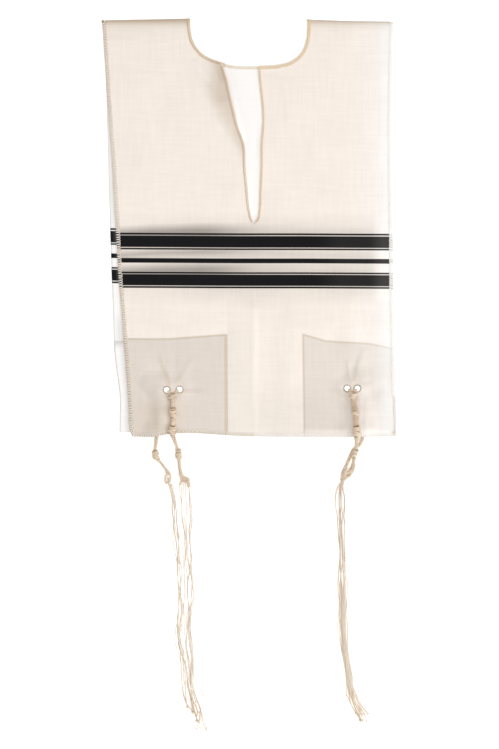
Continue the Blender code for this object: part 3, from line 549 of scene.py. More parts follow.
def neck_points(side, last_angle, steps):
    """Evenly spaced points of the neck hole's edge, from the shoulder line to an angle."""
    edge = np.array([neck_edge(side, angle) for angle in np.linspace(0, last_angle, 361)])
    run = runs(edge)
    even = np.linspace(0, run[-1], steps + 1)
    return between(even, run, edge)


def neck_stations(side, panel):
    """(outer y, inner x, inner y) of each row from the shoulder to the neck's lowest place."""
    last_angle = NECK[side]["corner"] if panel == "front" else 90
    edge = neck_points(side, last_angle, NECK_ROWS[panel])
    shares = np.linspace(0, 1, len(edge))
    return [(share * NECK_SIDE[panel], x, y) for share, (x, y) in zip(shares, edge)]


def front_stations(side):
    stations = neck_stations(side, "front")
    for y in spread_out(FRONT_ROWS["slit"]):
        early = np.clip((y - SLIT_ROWS["above_y"]) / SLIT_ROWS["reach"], 0, 1)
        x = float(follow(SLIT, "y", side, y))
        stations.append((y - SLIT_ROWS["lower"] * early, x, y))
    tip = SLIT["left"][-1]
    return stations + [(y, tip, y) for y in spread_out(FRONT_ROWS["lower"])[1:]]


def back_stations(side):
    middle = NECK_MIDDLE[0]
    close = [(y_side, middle, y) for y_side, y in NECK_CLOSE_ROWS]
    return neck_stations(side, "back") + close + [(y, middle, y) for y in spread_out(BACK_ROWS)[1:]]


def row_points(side, station, sides, hem):
    """x and y along one row of a half, from the middle out."""
    outer_y, inner_x, inner_y = station
    share = spread_out(COLUMNS[side])
    outer_x = follow(sides, "y", side, outer_y)
    x = inner_x + (outer_x - inner_x) * share
    y = inner_y + (outer_y - inner_y) * share
    y = y - (FOLD_RADIUS + CLOTH / 2) * smooth(1 + y / FOLD_BENDS)
    y = y + np.interp(x, SHOULDER["x"], SHOULDER["y"]) * smooth(1 + y / SHOULDER_REACH)
    if hem is not None:
        lift = follow(hem, "x", "y", x) - hem["y"].mean()
        y = y + lift * smooth((HEM_WAVES["from_y"] - y) / HEM_WAVES["length"])
    return x, y


def half(side, stations, sides, hem, surface):
    """Middle surface of one half of a cloth, as rows of points from the shoulder to the hem."""
    rows = []
    for station in stations:
        x, y = row_points(side, station, sides, hem)
        rows.append(np.stack([x, y, surface(x, y)], axis=1))
    return np.array(rows)


def fold_half(front_row, back_row):
    """The bend at the shoulder, from the front's first row round to the back's."""
    rows = []
    for turn in np.linspace(math.pi / 2, -math.pi / 2, FOLD_ROWS)[1:-1]:
        share = (1 + math.sin(turn)) / 2
        row = back_row * (1 - share) + front_row * share
        row[:, 1] += FOLD_RADIUS * math.cos(turn)
        rows.append(row)
    return np.array(rows)


def woven_front(x, y):
    """Place on the cloth as it was woven: across, and along from the fold, less than 0 on the front."""
    return np.stack([x, y + STRIPES_TURN * x + np.interp(x, *STRIPES_SAG)], axis=-1)


def woven_back(x, y):
    """The same place on the back, whose stripes lie higher."""
    share = (x - BACK_SHIFT["from_x"]) / (BACK_SHIFT["to_x"] - BACK_SHIFT["from_x"])
    shift = BACK_SHIFT["left"] * (1 - share) + BACK_SHIFT["right"] * share
    return np.stack([x, -y - STRIPES_TURN * x + shift], axis=-1)


def grid_quads(rows, columns, start=0):
    number = start + np.arange(rows * columns).reshape(rows, columns)
    corners = (number[:-1, :-1], number[:-1, 1:], number[1:, 1:], number[1:, :-1])
    return np.stack(corners, axis=-1).reshape(-1, 4)


def to_world(points):
    return (np.asarray(points, float) + FRAME_SHIFT) * MM


def new_mesh(name, points, quads, uvs, surfaces, slots=None):
    """A smooth mesh of four-sided faces. The UVs are one for each corner of each face."""
    mesh = bpy.data.meshes.new(name)
    mesh.vertices.add(len(points))
    mesh.vertices.foreach_set("co", to_world(points).astype(np.float32).ravel())
    mesh.loops.add(quads.size)
    mesh.loops.foreach_set("vertex_index", quads.astype(np.int32).ravel())
    mesh.polygons.add(len(quads))
    mesh.polygons.foreach_set("loop_start", np.arange(0, quads.size, 4, dtype=np.int32))
    mesh.polygons.foreach_set("use_smooth", np.ones(len(quads), bool))
    if slots is not None:
        mesh.polygons.foreach_set("material_index", slots.astype(np.int32))
    mesh.update(calc_edges=True)
    layer = mesh.uv_layers.new(name="flat")
    layer.data.foreach_set("uv", uvs.astype(np.float32).ravel())
    for surface in surfaces:
        mesh.materials.append(surface)
    made = bpy.data.objects.new(name, mesh)
    bpy.context.scene.collection.objects.link(made)
    return made


def punch(points, flat, quads, places):
    """Leaves out the faces inside each eyelet, (x, y, side), and draws its rim into a circle."""
    middle, turned = points[quads].mean(axis=1), flat[quads].mean(axis=1)[:, 1]
    keep = np.ones(len(quads), bool)
    for x, y, side in places:
        inside = np.hypot(middle[:, 0] - x, middle[:, 1] - y) < EYELET_RADIUS
        keep &= ~(inside & (turned * side > 0))
    rim = np.intersect1d(np.unique(quads[~keep]), np.unique(quads[keep]))
    for x, y, side in places:
        away = points[rim, :2] - (x, y)
        far = np.linalg.norm(away, axis=1)
        near = (far < RIM_REACH * EYELET_RADIUS) & (flat[rim, 1] * side > 0)
        points[rim[near], :2] = (x, y) + away[near] * (EYELET_RADIUS / far[near, None])
    return keep


def cloth_piece(name, grids, woven, places, surface, wall):
    """A thin cloth through grids of points, each with its place on the woven cloth."""
    points, flat, quads, count = [], [], [], 0
    for grid, place in zip(grids, woven):
        rows, columns = grid.shape[:2]
        points.append(grid.reshape(-1, 3))
        flat.append(place.reshape(-1, 2))
        quads.append(grid_quads(rows, columns, count))
        count += rows * columns
    points, flat, quads = (np.concatenate(part) for part in (points, flat, quads))
    quads = quads[punch(points, flat, quads, places)]
    made = new_mesh(name, points, quads, flat[quads] * MM, [surface])
    shape = bmesh.new()
    shape.from_mesh(made.data)
    bmesh.ops.remove_doubles(shape, verts=shape.verts, dist=0.02 * MM)
    loose = [vert for vert in shape.verts if not vert.link_faces]
    bmesh.ops.delete(shape, geom=loose, context="VERTS")
    bmesh.ops.recalc_face_normals(shape, faces=shape.faces)
    shape.to_mesh(made.data)
    shape.free()
    thicken = made.modifiers.new("Wall", "SOLIDIFY")
    thicken.thickness = wall * MM
    thicken.offset = 0
    return made


def patch_grid(corner, panel, offset):
    """A corner patch: part of its panel's grid, moved off it and trimmed to the patch's outline."""
    patch = PATCHES[corner]
    outward = -1 if corner.endswith("left") else 1
    top = patch["top"]
    top_y = np.interp(panel[0, -1, 0], top["x"], top["y"])
    first_row = int(np.argmax(panel[:, -1, 1] < top_y))
    low_row = panel[panel.shape[0] * 3 // 4]
    first_column = int(np.argmax(outward * (low_row[:, 0] - patch["inner"]) > 0))
    points = moved_out(panel, offset)[first_row:, first_column:].copy()
    points[0, :, 1] = np.interp(points[0, :, 0], top["x"], top["y"])
    points[:, 0, 0] = patch["inner"]
    points[-1, :, 1] += PATCH_INSET
    points[:, -1, 0] -= outward * PATCH_INSET
    return points


def moved_out(points, distance):
    """The surface through a grid of points, moved along its normals."""
    down = np.gradient(points, axis=0)
    across = np.gradient(points, axis=1)
    normal = np.cross(across, down)
    normal *= np.sign(normal[..., 2:3]) / np.linalg.norm(normal, axis=2, keepdims=True)
    return points + distance * normal


# Threads and strings

# Each tube's twist starts this much further along, no tube lies lower than this, and its ends close
# over a share of its radius, to a share of it
TUBE_SHIFT = 37.0
LOWEST = 0.05
CAP = {"reach": 0.4, "radius": 0.2}


def unit(vectors):
    return vectors / np.linalg.norm(vectors, axis=-1, keepdims=True)


def runs(points):
    """Length along a path at each of its points."""
    return np.concatenate([[0], np.cumsum(np.linalg.norm(np.diff(points, axis=0), axis=1))])


def between(at, run, points):
    """The points' values at places along their path, on straight lines between them."""
    return np.stack([np.interp(at, run, values) for values in points.T], axis=1)


def resampled(points, spacing):
    """A smooth curve through the points, at an even spacing."""
    points = np.asarray(points, float)
    run = runs(points)
    count = max(4, round(run[-1] / spacing))
    at = np.linspace(0, run[-1], count + 1)
    columns = [follow({"run": run, "value": values}, "run", "value", at) for values in points.T]
    return np.stack(columns, axis=1)


def crossways(path):
    """Two directions across a path at each of its points, that turn no more than the path does."""
    tangents = unit(np.gradient(path, axis=0))
    start = np.cross(tangents[0], (0.0, 0.0, 1.0))
    if np.linalg.norm(start) < 0.1:
        start = np.cross(tangents[0], (0.0, 1.0, 0.0))
    sides = [unit(start)]
    for tangent in tangents:
        sides.append(unit(sides[-1] - tangent * (sides[-1] @ tangent)))
    sides = np.array(sides[1:])
    return tangents, sides, np.cross(tangents, sides)


class Tubes:
    """Tubes along paths, gathered for one mesh. Their UVs run around and along each tube."""

    def __init__(self):
        self.points, self.quads, self.uvs, self.slots = [], [], [], []
        self.count = 0

    def add(self, path, radius, sides=6, slot=0, closed=False):
        path = np.asarray(path, float)
        if closed:
            path = np.concatenate([path, path[:1]])
        radii = np.broadcast_to(radius, len(path)).astype(float)
        if not closed:
            ends = unit(path[[0, -1]] - path[[1, -2]]) * radii[[0, -1], None] * CAP["reach"]
            path = np.concatenate([path[:1] + ends[:1], path, path[-1:] + ends[1:]])
            radii = np.concatenate([radii[:1] * CAP["radius"], radii, radii[-1:] * CAP["radius"]])
        _, one, other = crossways(path)
        turn = math.tau * np.arange(sides) / sides
        ring = one[:, None] * np.cos(turn)[:, None] + other[:, None] * np.sin(turn)[:, None]
        points = path[:, None] + ring * radii[:, None, None]
        points[..., 2] = np.maximum(points[..., 2], LOWEST)
        rows = len(path)
        number = self.count + np.arange(rows * sides).reshape(rows, sides)
        after = np.roll(number, -1, axis=1)
        quads = np.stack([number[:-1], after[:-1], after[1:], number[1:]], axis=-1)
        along = (runs(path) + TUBE_SHIFT * len(self.points)) * MM
        around = np.arange(sides) / sides
        uvs = np.empty((rows - 1, sides, 4, 2))
        uvs[..., 0, 0] = uvs[..., 3, 0] = around
        uvs[..., 1, 0] = uvs[..., 2, 0] = around + 1 / sides
        uvs[..., 0, 1] = uvs[..., 1, 1] = along[:-1, None]
        uvs[..., 2, 1] = uvs[..., 3, 1] = along[1:, None]
        self.points.append(points.reshape(-1, 3))
        self.quads.append(quads.reshape(-1, 4))
        self.uvs.append(uvs.reshape(-1, 2))
        self.slots.append(np.full(len(self.quads[-1]), slot))
        self.count += rows * sides

    def piece(self, name, surfaces):
        parts = (self.points, self.quads, self.uvs, self.slots)
        points, quads, uvs, slots = (np.concatenate(part) for part in parts)
        return new_mesh(name, points, quads, uvs, surfaces, slots)


# Overlocked edges, by kind: pitch and width of the stitches, the thread's radius, its height over and
# under the cloth, how far it stands beyond the edge, and the needle thread's place as a share of the width
OVERLOCK_SIZES = ("pitch", "width", "thread", "over", "under", "beyond", "needle")
OVERLOCK = {
    "side": (3.0, 4.4, 0.46, 0.52, 0.40, 0.35, 1.02),
    "low_side": (3.0, 3.0, 0.44, 0.50, 0.40, 0.35, 0.9),
    "hem": (3.0, 4.4, 0.44, 0.50, 0.30, 0.25, 0.26),
    "neck": (1.9, 3.3, 0.42, 0.50, 0.40, 0.75, 0.92),
    "slit": (1.9, 2.3, 0.38, 0.48, 0.40, 0.45, 0.9),
    "right_neck": (1.9, 3.3, 0.42, 0.50, 0.40, 1.6, 0.92),
}
# One stitch of the thread round the edge, from a share of its pitch: its depth and its height. The
# edge's own depth is worked out
LOOP_STEPS = (0.06, 0.24, 0.29, 0.40, 0.51, 0.56, 0.68, 0.90)
LOOP_RISES = np.array([0.8, 1.0, 0.9, 0.0, 0.9, 1.0, 0.8, 0.55])
# One stitch of the needle's thread, which lies higher where it crosses the loops
NEEDLE_STEPS = (0.60, 0.68, 0.80, 0.92, 1.0)
NEEDLE_RISES = np.array([-0.3, 0.45, 0.6, 0.45, -0.3])
NEEDLE_CROSSES = 0.5
NEEDLE_THREAD = 0.26


def overlock(tubes, edge, inner, kind, slots):
    """Overlock stitches along an edge of cloth. The inner points show where the cloth is."""
    sizes = dict(zip(OVERLOCK_SIZES, OVERLOCK[kind]))
    run = runs(edge)
    count = round(run[-1] / sizes["pitch"])
    pitch = run[-1] / count
    tangent = unit(np.gradient(edge, axis=0))
    inward = inner - edge
    inward = unit(inward - tangent * np.sum(inward * tangent, axis=1, keepdims=True))
    up = np.cross(tangent, inward)
    up *= np.sign(np.sum(up[:, 2]))

    def at(stitch, depth, rise):
        place = np.clip(np.asarray(stitch), 0, count) * pitch
        middle, across, over = (between(place, run, values) for values in (edge, inward, up))
        return middle + across * depth[:, None] + over * rise[:, None]

    def thread(steps, depths, rises, radius, slot):
        uneven = 1 + 0.07 * RANDOM.standard_normal((count, 1))
        late = 0.05 * RANDOM.standard_normal((count, 1))
        stitch = (np.arange(count)[:, None] + late + steps).ravel()
        deep = (sizes["width"] * uneven * depths).ravel()
        tubes.add(at(stitch, deep, np.tile(rises, count)), radius, sides=5, slot=slot)

    out = -sizes["beyond"] / sizes["width"]
    depths = np.array([1.0, 0.7, 0.1, out, 0.1, 0.7, 0.98, 1.0])
    thread(LOOP_STEPS, depths, LOOP_RISES * sizes["over"], sizes["thread"], slots[0])
    thread(LOOP_STEPS, depths, -LOOP_RISES * sizes["under"], sizes["thread"] * 0.8, slots[0])
    rises = NEEDLE_RISES + (NEEDLE_CROSSES if sizes["needle"] < 0.5 else 0.0)
    thread(NEEDLE_STEPS, np.full(5, sizes["needle"]), rises, NEEDLE_THREAD, slots[1])


def thread_end(tubes, place, radius, slot):
    """The ends of the overlock threads, drawn into a small ball at a corner."""
    turns = np.linspace(0, 5 * math.tau, 70)
    lift = np.linspace(-1, 1, 70)
    away = radius * np.sqrt(1.02 - lift**2)
    ring = np.stack([away * np.cos(turns), away * np.sin(turns), radius * lift], axis=1)
    tubes.add(place + ring, 0.4, sides=5, slot=slot)
    tubes.add(place + ring[[0, 35, 69]] * (0.2, 0.2, 0.8), radius * 0.6, sides=6, slot=slot)


EYELET_STITCHES = 24
# One stitch across an eyelet's edge: how far from it, and its heights
EYELET_STEPS = np.array([-0.15, 0.1, 0.45, 0.95, 1.25])
EYELET_RISES = np.array([-0.5, 0.15, 0.5, 0.4, -0.1])
# The threads laid round an eyelet: how far from its edge, height, radius and slot
EYELET_ROUNDS = ((-0.05, 0.1, 0.34, 1), (1.3, 0.2, 0.26, 2))


def eyelet_ring(tubes, place, surface):
    """Close stitches around an eyelet, over the edge of its hole."""
    for number in range(EYELET_STITCHES):
        turn = math.tau * (number + 0.15 * RANDOM.standard_normal()) / EYELET_STITCHES
        away = EYELET_RADIUS + EYELET_STEPS * (1 + 0.1 * RANDOM.standard_normal())
        x, y = place[0] + away * math.cos(turn), place[1] + away * math.sin(turn)
        tubes.add(np.stack([x, y, surface(x, y) + EYELET_RISES], axis=1), 0.32, sides=5)
    turns = math.tau * np.arange(36) / 36
    for beyond, rise, radius, slot in EYELET_ROUNDS:
        away = EYELET_RADIUS + beyond
        x, y = place[0] + away * np.cos(turns), place[1] + away * np.sin(turns)
        ring = np.stack([x, y, surface(x, y) + rise], axis=1)
        tubes.add(ring, radius, sides=5, slot=slot, closed=True)


# What each head is made of, from its first knot down: each part and the y where it starts
SECTIONS = {
    "front_left": (
        "knot -466.8, wound -474.6, knot -485.2, wound -497.4, knot -507.6, bundle -518.4, "
        "knot -537.4, bundle -548.4, end -574.8"
    ),
    "front_right": (
        "knot -465.4, twist -473.2, knot -488.6, twist -493.8, knot -507.4, wound -521.4, "
        "knot -536.4, bundle -547, end -563.4"
    ),
    "back_left": (
        "knot -462, wound -469.4, knot -487.4, wound -494.2, knot -507.6, bundle -515, "
        "wound -527.4, knot -538.6, wound -549.6, bundle -563, end -569.4"
    ),
    "back_right": (
        "knot -458.8, wound -465.6, knot -486.6, wound -493.4, knot -507.6, bundle -514.4, "
        "wound -524.4, bundle -561, end -565.4"
    ),
}
# Radius of the string in the heads and in the tassels
STRING = 0.62
TASSEL_STRING = 0.42
# A head made of strings settles this much lower than the part's does
HEAD_LOWER = 0.7
# How far along a head one turn of a winding takes, and the number of strings in a bundle with how far
# one turn of them takes
WINDING_PITCH = 1.34
BUNDLES = {"twist": (5, 17.0), "bundle": (7, 70.0)}
# A dark core inside each part of a head, painted shade that shows between its strings: how many radii
# of the string it lies within, its least radius and its sides
CORES = {"wound": (1.5, 0.4, 8), "bundle": (1.7, 0.35, 7), "knot": (2.2, 0.6, 10)}
# Parts of a head overlap by this much at their ends
OVERLAP = 0.3
# A winding's string stands higher or lower at random places this far apart, and its pitch varies in
# waves. A bundle's strings wander round it in waves.
UNEVEN_WINDING = {"height": 0.13, "spacing": 2.2, "pitch": 0.02, "turns": 0.9}
WANDER = {"turn": 0.12, "length": 7.0}
# A knot's strings are thicker. Its two bands lie this share of its length from its middle and this far
# to either side, and a strand of this radius runs through it.
KNOT = {"thicker": 1.15, "band": 0.24, "aside": 0.5, "through": 0.8}
# The two bands of a knot: lean, how far outside in radii of the string, and which half
KNOT_BANDS = ((0.5, 0.0, 0), (-0.55, 0.45, 1))
# Strings side by side in a last knot are this many radii apart
DRAWN_APART = 1.9
# A leg is four strings side by side, this far apart at the knot and at the eyelet
LEG = {"string": 0.48, "apart": (0.6, 1.05)}
# The slope with which a string of a tassel steps over another one, the spacing of its points, and the
# slot of each string's wool
STRING_SLOPE = 0.32
STRING_STEP = 1.6
STRING_SLOTS = (3, 0, 3, 0, 2, 3, 2, 2)
# The strings are darker where they come untwisted, this far from their ends
TIP = 34.0
FRAY = {"fibres": 7, "length": 6.0, "radius": 0.15}

# Short ends of strings beside a head: how far over its first knot, and their way
SHORT_ENDS = {
    "front_right": (
        (0.2, "128.6 -465.6, 125.5 -466.4, 122.8 -468.1, 121.6 -471.1, 122.5 -473.9"),
        (0.8, "128.6 -467.5, 125.8 -468.1, 124.0 -470.1, 123.8 -472.9, 125.5 -474.6"),
        (0.0, "128.6 -469.4, 126.3 -470.9, 125.0 -473.1, 126.3 -475.6"),
        (-0.9, "138.2 -527.5, 141.0 -528.9, 142.0 -531.9, 141.3 -535.1, 138.8 -536.9"),
    ),
    "front_left": ((0.3, "-93.2 -468.8, -90.0 -469.1, -87.7 -470.9, -88.2 -473.1"),),
}


def section(path, from_y, to_y):
    """The part of a head's path, (x, y, z, radius), between two places."""
    return path[(path[:, 1] <= from_y + OVERLAP) & (path[:, 1] >= to_y - OVERLAP)]


def core(tubes, kind, path):
    within, least, sides = CORES[kind]
    # The core is of the dark inside wool: painted shade between the strings
    tubes.add(path[:, :3], np.maximum(path[:, 3] - within * STRING, least), sides=sides, slot=1)


def around(path, turns, away):
    """A path that winds about another one."""
    _, one, other = crossways(path[:, :3])
    away = np.broadcast_to(away, len(path))[:, None]
    return path[:, :3] + away * (one * np.cos(turns)[:, None] + other * np.sin(turns)[:, None])


def wound(tubes, path):
    """One string wound closely round the others."""
    core(tubes, "wound", path)
    run = runs(path[:, :3])
    turns = run[-1] / WINDING_PITCH
    at = np.linspace(0, run[-1], max(16, int(turns * 13)))
    fine = between(at, run, path)
    stops = np.arange(0, run[-1] + 3, UNEVEN_WINDING["spacing"])
    uneven = UNEVEN_WINDING["height"] * np.interp(at, stops, RANDOM.standard_normal(len(stops)))
    sway = 1 + UNEVEN_WINDING["pitch"] * np.sin(at * UNEVEN_WINDING["turns"])
    angle = math.tau * at / WINDING_PITCH * sway + 0.3
    tubes.add(around(fine, angle, fine[:, 3] - STRING + uneven), STRING)


def bundle(tubes, path, count, pitch):
    """Strings side by side in a round bundle that turns slowly."""
    core(tubes, "bundle", path)
    run = runs(path[:, :3])
    start = RANDOM.uniform(0, math.tau)
    for number in range(count):
        wander = WANDER["turn"] * np.sin(run / WANDER["length"] + number * 2.1)
        angle = start + math.tau * (number / count + run / pitch) + wander
        away = np.maximum(path[:, 3] - STRING, 0.5) * (1 - 0.08 * (number % 3))
        tubes.add(around(path, angle, away), STRING)


def knot(tubes, path):
    """A double knot: two bands of strings drawn tight across each other."""
    tubes.add(path[:, :3], KNOT["through"], sides=8)
    core(tubes, "knot", path[len(path) // 5 : -(len(path) // 5)])
    middle, length = path[:, :3].mean(axis=0), runs(path[:, :3])[-1]
    big = float(path[:, 3].max())
    along = unit(path[-1, :3] - path[0, :3])
    across = unit(np.cross(along, (0.0, 0.0, 1.0)))
    up = np.cross(across, along)
    turns = math.tau * np.arange(22) / 22
    radius = KNOT["thicker"] * STRING
    strings = max(2, round(length / (4.6 * radius)))
    ear = KNOT["aside"] * RANDOM.choice((-1, 1))
    for tilt, outer, second in KNOT_BANDS:
        centre = (KNOT["band"] if second else -KNOT["band"]) * length
        for number in range(strings):
            place = centre + (number - (strings - 1) / 2) * 2.0 * radius
            inside = math.sqrt(max(0.2, 1 - (place / (0.8 * length)) ** 2))
            away = (big - radius) * (0.65 + 0.35 * inside) + outer * radius
            lean = tilt * (1 + 0.4 * RANDOM.standard_normal())
            sway = place + 0.55 * lean * away * np.sin(turns + 0.5 * math.pi * second)
            ring = away * (across * np.cos(turns)[:, None] + up * np.sin(turns)[:, None])
            shift = across * (ear * (1 if second else -1) + 0.15 * RANDOM.standard_normal())
            tubes.add(middle + shift + ring + along * sway[:, None], radius, closed=True)


def legs(tubes, route):
    """The strings that go from the first knot through both eyelets and back."""
    route = np.array(route)
    half_way = len(route) // 2
    apart = np.interp(np.arange(half_way), (0, half_way / 2), LEG["apart"])
    for number in range(4):
        strand = []
        for leg, order in ((route[:half_way], 1), (route[half_way:][::-1], -1)):
            way = unit(leg[4, :2] - leg[0, :2])
            across = np.array([way[1], -way[0], 0.0]) * order
            points = leg + (number - 1.5) * apart[:, None] * across + (0.0, 0.0, 0.12 * (number % 2))
            strand.append(points if order > 0 else points[::-1])
        tubes.add(resampled(np.concatenate(strand), 0.7), LEG["string"])


def head_piece(tubes, corner, head):
    """The windings and knots of a head."""
    path = resampled(head, 0.45)
    starts = [entry.split() for entry in SECTIONS[corner].split(", ")]
    for (kind, from_y), (_, to_y) in zip(starts, starts[1:]):
        part = section(path, float(from_y), float(to_y))
        if kind in BUNDLES:
            bundle(tubes, part, *BUNDLES[kind])
        elif kind == "wound":
            wound(tubes, part)
        else:
            knot(tubes, part)


def last_knot(tubes, corner, height):
    """The strings drawn into one more knot."""
    for count, up, text in DRAWN_KNOTS[corner]:
        path = resampled(rows_of(text), 0.6)
        way = unit(np.gradient(path, axis=0))
        across = np.stack([way[:, 1], -way[:, 0]], axis=1)
        for number in range(count):
            place = (number - (count - 1) / 2) * DRAWN_APART * STRING
            beside = path + across * (place + 0.12 * RANDOM.standard_normal())
            z = height + up + 0.5 * (number % 2) + 0.25 * np.sin(np.arange(len(path)) * 0.7 + number)
            tubes.add(np.column_stack([beside, z]), STRING)
            # Under each string, a copy in the dark inside wool: painted shade beneath the knot
            tubes.add(np.column_stack([beside, z - DRAWN_APART * STRING]), STRING, slot=1)


def strand_ways(corner):
    """The ways of a tassel's eight strings, seen from above."""
    side = corner.split("_")[1]
    stops = np.array(STRAND_Y[side].split(), float)
    for number, text in enumerate(STRANDS[corner]):
        x = STRAND_MIDDLE[side] + 0.1 * np.array(text.split(), float)
        way = resampled(np.stack([x, stops[: len(x)]], axis=1), STRING_STEP)
        wave = 0.1 * np.sin(way[:, 1] / 4.3 + number * 1.7)
        yield way + np.stack([wave, 0 * wave], axis=1)


def laid_on(plan, placed, radius):
    """Heights of a string that lies over those placed before it, stepping up to each one gently."""
    rest = np.full(len(plan), radius)
    if len(placed):
        away = np.hypot(plan[:, None, 0] - placed[:, 0], plan[:, None, 1] - placed[:, 1])
        over = placed[:, 2] + np.sqrt(np.maximum((2 * radius) ** 2 - away**2, 0))
        rest = np.maximum(rest, np.where(away < 2 * radius, over, 0).max(axis=1))
    apart = np.hypot(plan[:, None, 0] - plan[:, 0], plan[:, None, 1] - plan[:, 1])
    return np.max(rest - STRING_SLOPE * apart, axis=1)


def fray(tubes, path, slot):
    """Loose fibres at a string's end."""
    tip, way = path[-1], unit(path[-1] - path[-4])
    for _ in range(FRAY["fibres"]):
        spread = RANDOM.standard_normal(3) * (0.34, 0.34, 0.1)
        reach = FRAY["length"] * RANDOM.uniform(0.5, 1.0) * np.linspace(0, 1, 5)[:, None]
        bend = spread * reach**2 / FRAY["length"]
        points = tip - way * 0.6 + way * reach + bend
        points[:, 2] = np.maximum(points[:, 2], 0.15)
        tubes.add(points, FRAY["radius"], sides=4, slot=slot)


def tassel(tubes, corner, knot_height, placed):
    """The eight strings that hang from the last knot. They lie over those of the other tassels."""
    for number, plan in enumerate(strand_ways(corner)):
        z = laid_on(plan, placed, TASSEL_STRING)
        root = knot_height + (number % 2 - 0.5) * LAYER_HEIGHT
        start = np.hypot(plan[:, 0] - plan[0, 0], plan[:, 1] - plan[0, 1])
        z = np.maximum(z, root + (z - root) * smooth(start / STRING_SETTLES))
        path = np.column_stack([plan, z])
        tip = len(path) - round(TIP / STRING_STEP)
        tubes.add(path[: tip + 1], TASSEL_STRING, slot=STRING_SLOTS[number])
        tubes.add(path[tip:], TASSEL_STRING, slot=0)
        fray(tubes, path, 0)
        placed = np.concatenate([placed, path]) if len(placed) else path
    return placed


def short_ends(tubes, corner, height):
    """Short ends of strings that stand out beside a head."""
    for rise, text in SHORT_ENDS.get(corner, ()):
        path = resampled(rows_of(text), 0.6)
        z = height + rise + 0.3 * np.sin(np.arange(len(path)) * 0.5)
        tubes.add(np.column_stack([path, z]), 0.45, slot=2)


def tzitzit(corner, head, route, placed, surfaces):
    """One corner's head, its loop through the eyelets and its tassel. Gives the strings laid so far."""
    tubes = Tubes()
    lowered = head - (0.0, 0.0, HEAD_LOWER, 0.0)
    lowered[:, 2] = np.maximum(lowered[:, 2], lowered[:, 3] + 0.1)
    head_piece(tubes, corner, lowered)
    legs(tubes, [point - (0.0, 0.0, HEAD_LOWER) for point in route])
    last_knot(tubes, corner, LAST_KNOTS[corner])
    short_ends(tubes, corner, lowered[1, 2])
    placed = tassel(tubes, corner, LAST_KNOTS[corner], placed)
    made = tubes.piece(f"strings_{corner}", surfaces)
    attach(made, "root")
    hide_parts(f"tzitzit_{corner}")
    return placed


# Materials


